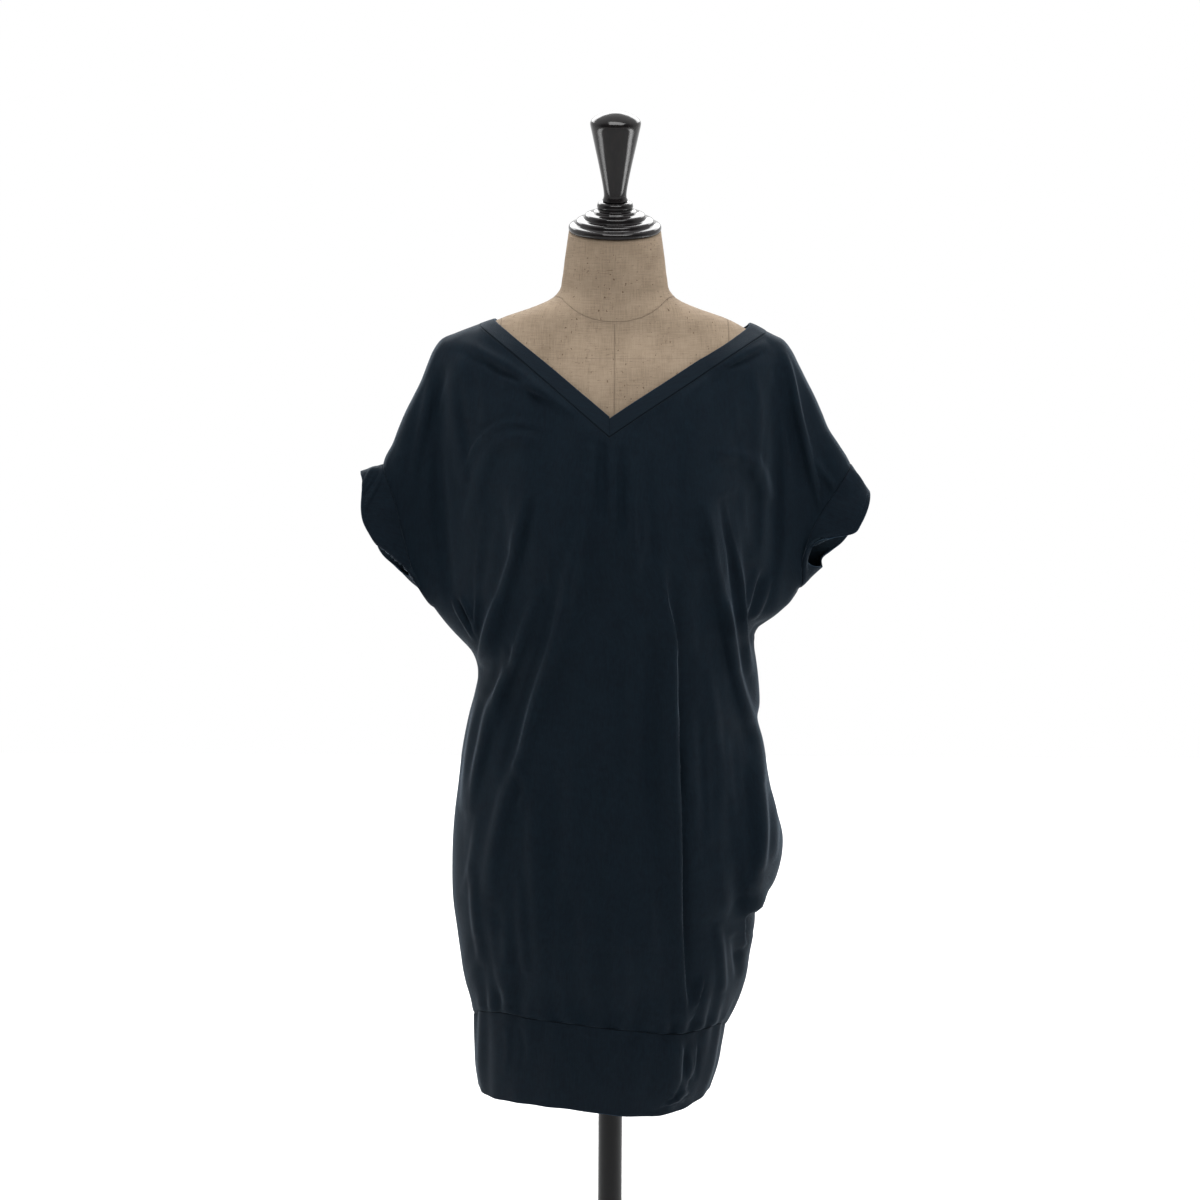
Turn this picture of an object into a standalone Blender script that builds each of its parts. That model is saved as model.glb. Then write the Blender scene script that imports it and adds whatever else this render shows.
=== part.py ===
"""Tunic dress with a V neck, batwing sleeves, cuffs and a deep hem band, worn on a limbless dress form.

The form stands on a pole and a round base. +Z is up and the dress faces -Y. The wearer's left is +X.
The origin is the middle of the base's underside. Sizes are in metres.

Front and back are one wall each. Both are worked out from the front outline (where they meet at the
shoulder, underarm and side seams) and from a depth at every point of that outline, so the two walls
hang round the form as one hollow tube with open neck, cuffs and hem.
"""
import math

import bpy
import numpy as np

# ---------------------------------------------------------------- cloth walls and seams
JERSEY_WALL = 0.0016       # one layer of jersey
BAND_WALL = 0.0022         # folded double, as in the neckband, cuffs and hem band
SEAM_GAP = 0.0010          # between the middles of two walls at a seam, which leaves about 0.3 mm of air

# ---------------------------------------------------------------- fineness of the walls
ARM_COLUMNS = 12           # cuff to neck along the shoulder seam
NECK_COLUMNS = 11          # shoulder to middle of the neckline
YOKE_ROWS = 13             # shoulder seam down to the foot of the cuff seams
UNDERARM_ROWS = 6          # foot of the cuff seams down to the underarm points
SKIRT_ROWS = 18            # underarm points down to the band
BACK_SHARE = 0.70          # columns and rows of the back, as a share of the front's
ARM_CROWDING = 1.5         # powers that crowd points towards the cuffs, the shoulders and the shoulder seam
NECK_CROWDING = 1.6
YOKE_CROWDING = 1.4
EDGE_PULL = 6              # how close to the panel's edge its points follow the sleeve's end
RING_STEPS = 52            # round the hem band
CUFF_RINGS = 4             # from a cuff's seam to its opening
NECKBAND_STEPS = 13        # along each quarter of the neckline
TORSO_STEPS = 28           # round the form
TURNED_STEPS = 20          # round the cap, finial and pole
BASE_STEPS = 32            # round the base

# ---------------------------------------------------------------- front outline of the dress
# Shoulder seam, from the cuff up to the neckband, one table for each arm.
ARM_RIGHT = (
    # x, height
    (-0.2620, 1.2120), (-0.2600, 1.2190), (-0.2510, 1.2360), (-0.2440, 1.2540), (-0.2360, 1.2725),
    (-0.2265, 1.2910), (-0.2175, 1.3090), (-0.2105, 1.3270), (-0.2030, 1.3440), (-0.1950, 1.3545),
    (-0.1780, 1.3622), (-0.1520, 1.3722),
)
ARM_LEFT = (
    # x, height
    (0.2690, 1.2150), (0.2660, 1.2210), (0.2550, 1.2380), (0.2430, 1.2560), (0.2350, 1.2745),
    (0.2265, 1.2930), (0.2170, 1.3110), (0.2077, 1.3290), (0.1985, 1.3460), (0.1900, 1.3560),
    (0.1800, 1.3610), (0.1710, 1.3655),
)
# Cuff seam from the top down, then the underarm seam to the underarm point.
SLEEVE_END_RIGHT = (
    # height, x
    (1.2120, -0.2620), (1.1800, -0.2500), (1.1300, -0.2380), (1.0850, -0.2250), (1.0480, -0.2050),
    (1.0320, -0.1920), (1.0140, -0.1750), (0.9990, -0.1620), (0.9860, -0.1560),
)
SLEEVE_END_LEFT = (
    # height, x
    (1.2150, 0.2690), (1.1850, 0.2535), (1.1400, 0.2330), (1.1050, 0.2210), (1.0720, 0.2130),
    (1.0550, 0.2020), (1.0400, 0.1840), (1.0280, 0.1675), (1.0180, 0.1625),
)
CUFF_SEAM_ROWS = 5         # rows of the two tables above that belong to the cuff seam
# Side seams from the underarm point down to the band.
SIDE_RIGHT = (
    # height, x
    (0.9860, -0.1560), (0.9700, -0.1545), (0.9500, -0.1580), (0.9190, -0.1660), (0.8800, -0.1735),
    (0.8420, -0.1780), (0.8000, -0.1832), (0.7450, -0.1860), (0.7000, -0.1850), (0.6670, -0.1805),
    (0.6370, -0.1760), (0.6080, -0.1720), (0.5800, -0.1645), (0.5600, -0.1610),
)
SIDE_LEFT = (
    # height, x
    (1.0180, 0.1625), (1.0040, 0.1622), (0.9900, 0.1645), (0.9580, 0.1680), (0.9400, 0.1685),
    (0.9200, 0.1658), (0.9000, 0.1700), (0.8610, 0.1790), (0.8230, 0.1875), (0.8000, 0.1940),
    (0.7800, 0.1990), (0.7600, 0.1990), (0.7400, 0.1950), (0.7220, 0.1880), (0.7080, 0.1780),
    (0.6950, 0.1712), (0.6670, 0.1680), (0.6370, 0.1630), (0.6080, 0.1590), (0.5800, 0.1505),
    (0.5600, 0.1420), (0.5470, 0.1345),
)
# Neckline seam, from the shoulder to the middle.
V_SEAM_RIGHT = (
    # x, height
    (-0.1520, 1.3722), (-0.1400, 1.3650), (-0.1250, 1.3550), (-0.0770, 1.3180), (-0.0290, 1.2785),
    (-0.0055, 1.2590),
)
V_SEAM_LEFT = (
    # x, height
    (0.1710, 1.3655), (0.1560, 1.3590), (0.1390, 1.3500), (0.0800, 1.3140), (0.0230, 1.2780),
    (-0.0055, 1.2590),
)
BACK_SEAM_RIGHT = (
    # x, height
    (-0.1520, 1.3722), (-0.1430, 1.3620), (-0.1280, 1.3510), (-0.0900, 1.3370), (-0.0450, 1.3290),
    (0.0100, 1.3265),
)
BACK_SEAM_LEFT = (
    # x, height
    (0.1710, 1.3655), (0.1600, 1.3580), (0.1420, 1.3480), (0.1020, 1.3360), (0.0580, 1.3285),
    (0.0100, 1.3265),
)
NECKBAND_WIDTH = 0.018
NECKBAND_GAP = 0.0017      # from the neckline seam to the band's lower edge
BAND_STEPS = 6             # small moves that carry the band's edge across the form
SMALL_MOVE = 0.0001        # step for slopes of the form's skin

# ---------------------------------------------------------------- depth of the dress, front and back
BODY_DEPTH = (
    # height, front, back, squareness of the section, half width of the drape above the underarms
    (0.5450, 0.1040, 0.0980, 2.20, 0.1700),
    (0.5750, 0.1065, 0.1010, 2.20, 0.1700),
    (0.6200, 0.1140, 0.1110, 2.20, 0.1700),
    (0.7000, 0.1215, 0.1210, 2.20, 0.1700),
    (0.8000, 0.1215, 0.1220, 2.20, 0.1700),
    (0.9000, 0.1185, 0.1160, 2.20, 0.1700),
    (1.0000, 0.1165, 0.1070, 2.20, 0.1720),
    (1.0800, 0.1180, 0.1030, 2.20, 0.1740),
    (1.1650, 0.1225, 0.1030, 2.30, 0.1760),
    (1.2350, 0.1120, 0.1020, 2.30, 0.1830),
    (1.3000, 0.0930, 0.0970, 2.30, 0.1900),
    (1.3400, 0.0770, 0.0850, 2.30, 0.1960),
    (1.3800, 0.0600, 0.0680, 2.30, 0.2000),
)
DRAPE_POWER = 3.5          # how square the drape is across the chest
SLEEVE_DEPTH = 0.0170      # half thickness of a sleeve that hangs flat
SLEEVE_ROUNDING = 0.0220   # radius of a sleeve's upper edge
UNDERARM_ROUNDING = 0.0340 # radius of its lower edge
SHOULDER_ROUNDING = 0.0450
DRAPE_FOOT = 0.98          # height where the body section becomes a closed oval
DRAPE_HEAD = 1.09          # height where the sleeves are wholly apart from it
SLEEVE_FOOT = 1.04         # height above which a sleeve keeps its own thickness
SHOULDER_FOOT = 1.24       # from here up to SHOULDER_HEAD a sleeve's edge turns into the rounder shoulder
SHOULDER_HEAD = 1.36
SEAM_ROUNDING = 0.0035     # radius of the cloth's edge at the shoulder seam
CHEST_EASE = 0.0034        # from the form's skin to the middle of the cloth that lies on the chest
SHOULDER_EASE = 0.0014     # the same on the shoulders, which carry the dress
EASE_FOOT = 1.27           # heights between which the one turns into the other
EASE_HEAD = 1.35
BLEND_WIDTH = 0.010        # softness where two forms of the cloth meet
FOLD_DEPTH = 0.040         # folds fade out where the cloth is less deep than this
FOLD_SAMPLES = 24          # places along the smooth curve of each fold
STEP_SHARPNESS = 0.2       # width of a step's steep side, as a share of its half width

# ---------------------------------------------------------------- hem band
BAND_TOP = (
    # x, height of the seam in front, height at the back
    (-0.1610, 0.5600, 0.5600), (-0.1300, 0.5760, 0.5660), (-0.0900, 0.5810, 0.5700),
    (-0.0300, 0.5800, 0.5710), (0.0200, 0.5730, 0.5690), (0.0650, 0.5660, 0.5650),
    (0.1000, 0.5610, 0.5580), (0.1350, 0.5470, 0.5470),
)
BAND_TOP_HALF_WIDTH = 0.1480
BAND_TOP_MIDDLE = -0.0130
BAND_SQUARENESS = 2.2
BAND_RINGS = (
    # share of the way down, middle x, half width, front, back
    (0.00, -0.0130, 0.1480, 0.1055, 0.0995),
    (0.35, -0.0150, 0.1462, 0.1080, 0.1010),
    (0.75, -0.0172, 0.1425, 0.1065, 0.0995),
    (1.00, -0.0190, 0.1370, 0.1030, 0.0965),
)
BAND_BOTTOM = (
    # x, height of the hem in front, height at the back
    (-0.1560, 0.4700, 0.4700), (-0.1100, 0.4770, 0.4730), (-0.0500, 0.4770, 0.4740),
    (0.0200, 0.4680, 0.4720), (0.0650, 0.4650, 0.4710), (0.1180, 0.4730, 0.4730),
)

# ---------------------------------------------------------------- cuffs
CUFF_OPENING_RIGHT = (
    # share of the way down the seam, front x, front height, back x, back height
    (0.00, -0.2880, 1.2050, -0.2880, 1.2050),
    (0.18, -0.2885, 1.1850, -0.2870, 1.1820),
    (0.38, -0.2860, 1.1600, -0.2830, 1.1480),
    (0.58, -0.2770, 1.1370, -0.2730, 1.1230),
    (0.75, -0.2630, 1.1200, -0.2600, 1.1030),
    (0.90, -0.2440, 1.1020, -0.2430, 1.0930),
    (1.00, -0.2300, 1.0850, -0.2300, 1.0850),
)
CUFF_OPENING_LEFT = (
    # share of the way down the seam, front x, front height, back x, back height
    (0.00, 0.2910, 1.1870, 0.2910, 1.1870),
    (0.18, 0.2925, 1.1730, 0.2900, 1.1650),
    (0.38, 0.2850, 1.1500, 0.2810, 1.1380),
    (0.55, 0.2660, 1.1370, 0.2670, 1.1250),
    (0.70, 0.2490, 1.1280, 0.2570, 1.1150),
    (0.85, 0.2370, 1.1170, 0.2480, 1.1050),
    (0.94, 0.2350, 1.1060, 0.2430, 1.0990),
    (1.00, 0.2380, 1.0960, 0.2380, 1.0960),
)
CUFF_OPENING_DEPTH = 0.0300
CUFF_FOOT_GAP = 1.4        # how much wider the seam's gap is where the ring is pinched at its foot

# ---------------------------------------------------------------- folds
# Each fold is a ridge (height above 0) or a trough (below 0) along a line of points on the outline's plane.
# A "round" fold falls away alike on both sides. A "step" stands proud on its right and drops at the line.
FRONT_FOLDS = (
    # shape, half width, height, points (x, height) from one end to the other
    ("step", 0.034, 0.0085, ((0.058, 1.165), (0.059, 1.079), (0.067, 1.045), (0.070, 0.900),
                             (0.076, 0.787), (0.080, 0.669), (0.085, 0.590))),
    ("round", 0.015, 0.0060, ((-0.024, 1.250), (-0.034, 1.188), (-0.046, 1.110), (-0.067, 1.026),
                              (-0.091, 0.949), (-0.118, 0.850), (-0.134, 0.789), (-0.141, 0.720))),
    ("round", 0.013, 0.0045, ((-0.078, 1.094), (-0.100, 1.035), (-0.123, 0.974), (-0.142, 0.920),
                              (-0.160, 0.850), (-0.168, 0.790))),
    ("round", 0.014, -0.0060, ((-0.134, 1.200), (-0.145, 1.130), (-0.150, 1.030), (-0.146, 0.960))),
    ("round", 0.013, 0.0050, ((-0.098, 1.200), (-0.108, 1.140), (-0.124, 1.080), (-0.141, 1.000))),
    ("round", 0.013, -0.0050, ((-0.076, 1.267), (-0.121, 1.270), (-0.150, 1.245), (-0.166, 1.200))),
    ("round", 0.013, 0.0040, ((-0.085, 1.256), (-0.128, 1.252), (-0.148, 1.215), (-0.152, 1.160))),
    ("round", 0.012, 0.0045, ((0.108, 1.238), (0.140, 1.236), (0.160, 1.215), (0.177, 1.175))),
    ("round", 0.013, -0.0060, ((0.147, 1.225), (0.157, 1.180), (0.158, 1.120))),
    ("round", 0.011, 0.0045, ((0.098, 1.190), (0.113, 1.110), (0.128, 1.040), (0.140, 0.985))),
    ("round", 0.011, -0.0045, ((0.116, 1.192), (0.131, 1.115), (0.145, 1.030))),
    ("round", 0.012, 0.0050, ((0.124, 1.074), (0.143, 0.973), (0.160, 0.912), (0.174, 0.850))),
    ("round", 0.012, 0.0035, ((-0.173, 1.355), (-0.133, 1.341), (-0.102, 1.325), (-0.070, 1.303))),
    ("round", 0.012, 0.0030, ((-0.124, 1.318), (-0.082, 1.308), (-0.044, 1.283))),
    ("round", 0.012, 0.0035, ((0.170, 1.355), (0.143, 1.347), (0.108, 1.328))),
    ("round", 0.015, -0.0090, ((-0.194, 1.325), (-0.198, 1.250), (-0.194, 1.140), (-0.180, 1.050))),
    ("round", 0.013, 0.0060, ((-0.176, 1.340), (-0.177, 1.280), (-0.170, 1.200))),
    ("round", 0.015, -0.0080, ((0.176, 1.330), (0.180, 1.240), (0.180, 1.110), (0.172, 1.050))),
    ("round", 0.012, 0.0060, ((0.190, 1.345), (0.200, 1.315), (0.212, 1.265), (0.224, 1.220),
                              (0.236, 1.170))),
    ("round", 0.024, 0.0100, ((0.158, 0.905), (0.167, 0.850), (0.172, 0.790), (0.168, 0.725))),
    ("round", 0.016, -0.0070, ((0.128, 0.850), (0.136, 0.780), (0.146, 0.700), (0.150, 0.640))),
)
BACK_FOLDS = (
    # shape, half width, height, points (x, height) from one end to the other
    ("round", 0.018, 0.0070, ((-0.075, 1.180), (-0.085, 1.050), (-0.096, 0.900), (-0.104, 0.720))),
    ("round", 0.016, -0.0060, ((-0.045, 1.130), (-0.052, 0.980), (-0.060, 0.800))),
    ("round", 0.018, 0.0060, ((-0.010, 1.100), (-0.014, 0.940), (-0.022, 0.760), (-0.024, 0.640))),
    ("round", 0.017, -0.0060, ((0.030, 1.150), (0.034, 0.960), (0.030, 0.780))),
    ("round", 0.019, 0.0080, ((0.082, 1.190), (0.088, 1.040), (0.092, 0.880), (0.086, 0.700))),
    ("round", 0.016, -0.0060, ((0.125, 1.120), (0.132, 0.980), (0.140, 0.830), (0.136, 0.690))),
    ("round", 0.016, 0.0050, ((0.150, 1.060), (0.156, 0.930), (0.164, 0.820))),
    ("round", 0.016, -0.0060, ((-0.125, 1.130), (-0.134, 0.980), (-0.146, 0.820))),
    ("round", 0.014, 0.0040, ((-0.165, 1.345), (-0.110, 1.300), (-0.050, 1.285))),
    ("round", 0.014, 0.0040, ((0.165, 1.345), (0.115, 1.298), (0.060, 1.285))),
    ("round", 0.015, -0.0080, ((-0.193, 1.320), (-0.196, 1.230), (-0.186, 1.090))),
    ("round", 0.015, -0.0080, ((0.186, 1.320), (0.190, 1.230), (0.184, 1.100))),
    ("round", 0.024, 0.0080, ((0.156, 0.880), (0.166, 0.800), (0.164, 0.730))),
)
# Gathers into the band: cosine waves round the seam, each with its number of waves, share and phase.
GATHER_WAVES = (
    # waves round one panel, share of the height, phase in turns
    (11.0, 0.55, 0.10), (17.0, 0.45, 0.62),
)
GATHER_HEIGHT = 0.0035
GATHER_REACH = 0.026       # height above the seam where the gathers are deepest
GATHER_DEPTH = 0.060       # gathers fade out where the cloth is less deep than this
BAND_HOLD = 0.045          # height over which the panels keep the band's section

# ---------------------------------------------------------------- the form
TORSO_SECTIONS = (
    # height, half width, front, back, squareness
    (0.6800, 0.1580, 0.0900, 0.1060, 2.3),
    (0.7300, 0.1660, 0.0960, 0.1130, 2.3),
    (0.7900, 0.1680, 0.0980, 0.1150, 2.3),
    (0.8800, 0.1540, 0.0910, 0.1040, 2.3),
    (0.9900, 0.1180, 0.0820, 0.0740, 2.2),
    (1.0700, 0.1280, 0.0960, 0.0790, 2.2),
    (1.1200, 0.1385, 0.1110, 0.0860, 2.3),
    (1.1650, 0.1450, 0.1175, 0.0920, 2.3),
    (1.2100, 0.1520, 0.1140, 0.0960, 2.3),
    (1.2600, 0.1630, 0.1010, 0.0950, 2.6),
    (1.3000, 0.1730, 0.0880, 0.0910, 2.8),
    (1.3300, 0.1780, 0.0740, 0.0820, 2.8),
    (1.3500, 0.1730, 0.0615, 0.0700, 2.5),
    (1.3600, 0.1630, 0.0560, 0.0630, 2.3),
    (1.3680, 0.1490, 0.0525, 0.0590, 2.2),
    (1.3800, 0.1260, 0.0500, 0.0560, 2.0),
    (1.3910, 0.0940, 0.0480, 0.0570, 2.0),
    (1.4000, 0.0730, 0.0465, 0.0590, 2.0),
    (1.4100, 0.0625, 0.0460, 0.0595, 2.0),
    (1.4240, 0.0590, 0.0470, 0.0570, 2.0),
    (1.4450, 0.0562, 0.0490, 0.0530, 2.0),
    (1.4780, 0.0515, 0.0518, 0.0482, 2.0),
)
NECK_FOOT = 1.395          # height where the neck starts to lean forward
NECK_LEAN = math.radians(10.0)
NECK_TOP = (0.0, -0.0018, 1.4780)
STAND_GAP = 0.0003         # between hard pieces that stand on each other

CAP_PROFILE = (
    # radius, height above the neck, from the top down the outer side
    (0.0000, 0.0330), (0.0150, 0.0330), (0.0190, 0.0315), (0.0205, 0.0275), (0.0190, 0.0235),
    (0.0235, 0.0225), (0.0250, 0.0200), (0.0330, 0.0190), (0.0345, 0.0150), (0.0345, 0.0135),
    (0.0430, 0.0125), (0.0445, 0.0080), (0.0500, 0.0070), (0.0520, 0.0045), (0.0520, 0.0015),
    (0.0505, 0.0000), (0.0000, 0.0000),
)
FINIAL_FOOT = 0.0333       # above the neck
FINIAL_PROFILE = (
    # radius, height above the finial's foot, from the top down the outer side
    (0.0000, 0.1000), (0.0080, 0.0993), (0.0160, 0.0970), (0.0230, 0.0935), (0.0270, 0.0900),
    (0.0283, 0.0870), (0.0280, 0.0840), (0.0262, 0.0760), (0.0228, 0.0600), (0.0190, 0.0430),
    (0.0155, 0.0260), (0.0132, 0.0130), (0.0125, 0.0060), (0.0135, 0.0020), (0.0150, 0.0000),
    (0.0000, 0.0000),
)
POLE_RADIUS = 0.0143
BASE_PROFILE = (
    # radius, height, from the top down the outer side
    (0.0000, 0.0300), (0.0210, 0.0300), (0.0240, 0.0285), (0.0255, 0.0240), (0.0300, 0.0190),
    (0.0600, 0.0160), (0.1200, 0.0130), (0.1700, 0.0105), (0.1775, 0.0090), (0.1800, 0.0060),
    (0.1800, 0.0015), (0.1785, 0.0000), (0.0000, 0.0000),
)
BASE_HEIGHT = 0.0300


# ================================================================ curves and tables
def column(table, index):
    """One column of a table, as an array."""
    return np.array([row[index] for row in table], dtype=float)


def smooth_value(knots, values, where):
    """Smooth curve through the values at rising knots, read at where."""
    slopes = np.gradient(values, knots)
    where = np.clip(where, knots[0], knots[-1])
    at = np.clip(np.searchsorted(knots, where) - 1, 0, len(knots) - 2)
    step = knots[at + 1] - knots[at]
    t = (where - knots[at]) / step
    return ((2 * t**3 - 3 * t**2 + 1) * values[at] + (t**3 - 2 * t**2 + t) * step * slopes[at]
            + (3 * t**2 - 2 * t**3) * values[at + 1] + (t**3 - t**2) * step * slopes[at + 1])


def table_value(table, index, where):
    """A column of a table whose first column rises or falls, read at where."""
    knots = column(table, 0)
    values = column(table, index)
    if knots[0] > knots[-1]:
        knots = knots[::-1]
        values = values[::-1]
    return smooth_value(knots, values, np.asarray(where, dtype=float))


def along(points, shares):
    """Points at shares (0 to 1) of the length of a smooth curve through the given points."""
    points = np.array(points, dtype=float)
    steps = np.linalg.norm(np.diff(points, axis=0), axis=1)
    knots = np.concatenate(([0.0], np.cumsum(steps)))
    where = np.asarray(shares) * knots[-1]
    return np.stack([smooth_value(knots, points[:, axis], where) for axis in range(points.shape[1])], axis=-1)


def distance_to_line(x, z, points):
    """Distance from (x, z) to a line of points, and how far along it the nearest place is (0 to 1)."""
    points = np.array(points, dtype=float)
    lengths = np.linalg.norm(np.diff(points, axis=0), axis=1)
    starts = np.concatenate(([0.0], np.cumsum(lengths)))
    best = np.full(np.shape(x), np.inf)
    place = np.zeros(np.shape(x))
    side = np.zeros(np.shape(x))
    for index, length in enumerate(lengths):
        first = points[index]
        way = (points[index + 1] - first) / length
        run = np.clip((x - first[0]) * way[0] + (z - first[1]) * way[1], 0.0, length)
        off_x = x - first[0] - way[0] * run
        off_z = z - first[1] - way[1] * run
        distance = np.hypot(off_x, off_z)
        nearer = distance < best
        best = np.where(nearer, distance, best)
        place = np.where(nearer, (starts[index] + run) / starts[-1], place)
        side = np.where(nearer, np.sign(way[0] * off_z - way[1] * off_x), side)
    return best, place, side


def smooth_step(low, high, value):
    t = np.clip((value - low) / (high - low), 0.0, 1.0)
    return t * t * (3 - 2 * t)


def round_edge(distance, radius):
    """0 at an edge, rising as a quarter circle to 1 at the radius."""
    t = 1.0 - np.clip(distance / radius, 0.0, 1.0)
    return np.sqrt(1.0 - t * t)


def soft_max(first, second):
    """The greater of two depths, with a soft join that vanishes where both do."""
    width = np.minimum(BLEND_WIDTH, 0.5 * (first + second))
    return 0.5 * (first + second + np.sqrt((first - second)**2 + width**2))


# ================================================================ depth of the cloth
def oval(x, half_width, depth, squareness):
    """Depth of a superellipse section at x."""
    inside = np.clip(1.0 - np.abs(x / half_width)**squareness, 0.0, 1.0)
    return depth * inside**(1.0 / squareness)


def outline_right(z):
    return table_value(SIDE_RIGHT[::-1] + SLEEVE_END_RIGHT[::-1][1:], 1, z)


def outline_left(z):
    return table_value(SIDE_LEFT[::-1] + SLEEVE_END_LEFT[::-1][1:], 1, z)


def ease_at(z):
    """Ease of the cloth over the form at a height."""
    return CHEST_EASE + (SHOULDER_EASE - CHEST_EASE) * smooth_step(EASE_FOOT, EASE_HEAD, z)


def form_depth(x, z, face):
    """Depth of the form's skin at (x, z), moved out by the ease. face is 0 in front and 1 at the back."""
    ease = ease_at(z)
    low = z - ease
    half_width = table_value(TORSO_SECTIONS, 1, low) + ease
    depth = table_value(TORSO_SECTIONS, 2 + face, low) + ease
    skin = oval(x, half_width, depth, table_value(TORSO_SECTIONS, 4, low))
    return np.where(z > TORSO_SECTIONS[0][0] - ease, skin, 0.0)


def fold_relief(x, z, folds):
    """How far the folds stand proud of the smooth cloth at (x, z)."""
    total = np.zeros(np.shape(x))
    for shape, half_width, height, points in folds:
        distance, place, side = distance_to_line(x, z, along(points, np.linspace(0.0, 1.0, FOLD_SAMPLES)))
        taper = np.sin(math.pi * np.clip(place, 0.0, 1.0))**0.5
        bump = np.cos(0.5 * math.pi * np.clip(distance / half_width, 0.0, 1.0))**2
        if shape == "step":
            steep = STEP_SHARPNESS * half_width
            sharp = np.cos(0.5 * math.pi * np.clip(distance / steep, 0.0, 1.0))**2
            bump = np.where(side < 0, bump, sharp)
        total += height * taper * bump
    return total


def cloth_depth(x, z, face):
    """Depth of the cloth at (x, z), from the plane of the side seams. face is 0 in front, 1 at the back."""
    front_to_back = table_value(BODY_DEPTH, 1 + face, z)
    squareness = table_value(BODY_DEPTH, 3, z)
    drape_width = table_value(BODY_DEPTH, 4, z)
    from_arm = np.minimum(distance_to_line(x, z, ARM_RIGHT)[0], distance_to_line(x, z, ARM_LEFT)[0])
    underarm_right = [(x_, z_) for z_, x_ in SLEEVE_END_RIGHT[CUFF_SEAM_ROWS - 1:]]
    underarm_left = [(x_, z_) for z_, x_ in SLEEVE_END_LEFT[CUFF_SEAM_ROWS - 1:]]
    from_under = np.minimum(distance_to_line(x, z, underarm_right)[0],
                            distance_to_line(x, z, underarm_left)[0])

    right = outline_right(np.minimum(z, DRAPE_HEAD))
    left = outline_left(np.minimum(z, DRAPE_HEAD))
    closed = oval(x - 0.5 * (left + right), 0.5 * (left - right), front_to_back, squareness)
    shoulder = smooth_step(SHOULDER_FOOT, SHOULDER_HEAD, z)
    arm_radius = SLEEVE_ROUNDING + (SHOULDER_ROUNDING - SLEEVE_ROUNDING) * shoulder
    open_drape = front_to_back * np.exp(-np.abs(x / drape_width)**DRAPE_POWER)
    open_drape = open_drape * round_edge(from_arm, arm_radius) * round_edge(from_under, UNDERARM_ROUNDING)
    part = smooth_step(DRAPE_FOOT, DRAPE_HEAD, z)
    body = (1.0 - part) * closed + part * open_drape

    sleeve = SLEEVE_DEPTH * round_edge(from_arm, SLEEVE_ROUNDING) * round_edge(from_under, UNDERARM_ROUNDING)
    sleeve = sleeve * smooth_step(DRAPE_FOOT, SLEEVE_FOOT, z)
    depth = soft_max(soft_max(body, sleeve), form_depth(x, z, face))
    folds = BACK_FOLDS if face else FRONT_FOLDS
    depth = depth + fold_relief(x, z, folds) * np.clip(depth / FOLD_DEPTH, 0.0, 1.0)
    depth = np.maximum(depth, form_depth(x, z, face))
    return depth * round_edge(from_arm, SEAM_ROUNDING)


# ================================================================ grids of points
def panel_plan(face, share=1.0):
    """(x, height) of the points of the front or back, rows from the shoulder down to the band."""
    arm = round(ARM_COLUMNS * share)
    neck = round(NECK_COLUMNS * share)
    yoke = round(YOKE_ROWS * share)
    underarm = math.ceil(UNDERARM_ROWS * share)
    skirt = round(SKIRT_ROWS * share)
    arm_shares = np.linspace(0.0, 1.0, arm + 1)**ARM_CROWDING
    neck_shares = np.linspace(0.0, 1.0, neck + 1)**NECK_CROWDING
    neck_right = BACK_SEAM_RIGHT if face else V_SEAM_RIGHT
    neck_left = BACK_SEAM_LEFT if face else V_SEAM_LEFT
    top = np.concatenate((along(ARM_RIGHT, arm_shares)[:-1], along(neck_right, neck_shares),
                          along(neck_left, neck_shares)[::-1][1:], along(ARM_LEFT, arm_shares)[::-1][1:]))
    count = len(top) - 1
    turn = np.linspace(0.0, math.pi, count + 1)
    spread = 0.5 - 0.5 * np.cos(turn)

    under_right = SLEEVE_END_RIGHT[-1]
    under_left = SLEEVE_END_LEFT[-1]
    waist_x = under_right[1] + (under_left[1] - under_right[1]) * spread
    waist_z = under_right[0] + (under_left[0] - under_right[0]) * spread
    cuff_foot = SLEEVE_END_RIGHT[CUFF_SEAM_ROWS - 1][0]
    cuff_share = (top[0, 1] - cuff_foot) / (top[0, 1] - under_right[0])
    steps = np.concatenate((cuff_share * np.linspace(0.0, 1.0, yoke + 1)**YOKE_CROWDING,
                            np.linspace(cuff_share, 1.0, underarm + 1)[1:]))
    rows = []
    for t in steps:
        x = top[:, 0] * (1 - t) + waist_x * t
        z = top[:, 1] * (1 - t) + waist_z * t
        x = x + (table_value(SLEEVE_END_RIGHT, 1, z[0]) - x[0]) * (1 - spread)**EDGE_PULL
        x = x + (table_value(SLEEVE_END_LEFT, 1, z[-1]) - x[-1]) * spread**EDGE_PULL
        rows.append(np.stack((x, z), axis=-1))
    foot_x = BAND_TOP_MIDDLE - BAND_TOP_HALF_WIDTH * np.cos(turn)
    foot_z = table_value(BAND_TOP, 1 + face, foot_x) + SEAM_GAP
    for t in np.linspace(0.0, 1.0, skirt + 1)[1:]:
        z = waist_z * (1 - t) + foot_z * t
        right = table_value(SIDE_RIGHT, 1, z)
        left = table_value(SIDE_LEFT, 1, z)
        rows.append(np.stack((right + (left - right) * spread, z), axis=-1))
    return np.array(rows), spread, arm


def gathers(spread, rise):
    """Relief of the gathers at a height above the band, from the share round the panel."""
    wave = sum(share * np.cos(2 * math.pi * (waves * spread + phase)) for waves, share, phase in GATHER_WAVES)
    reach = rise / GATHER_REACH
    return GATHER_HEIGHT * wave * reach * np.exp(1.0 - reach)


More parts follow.
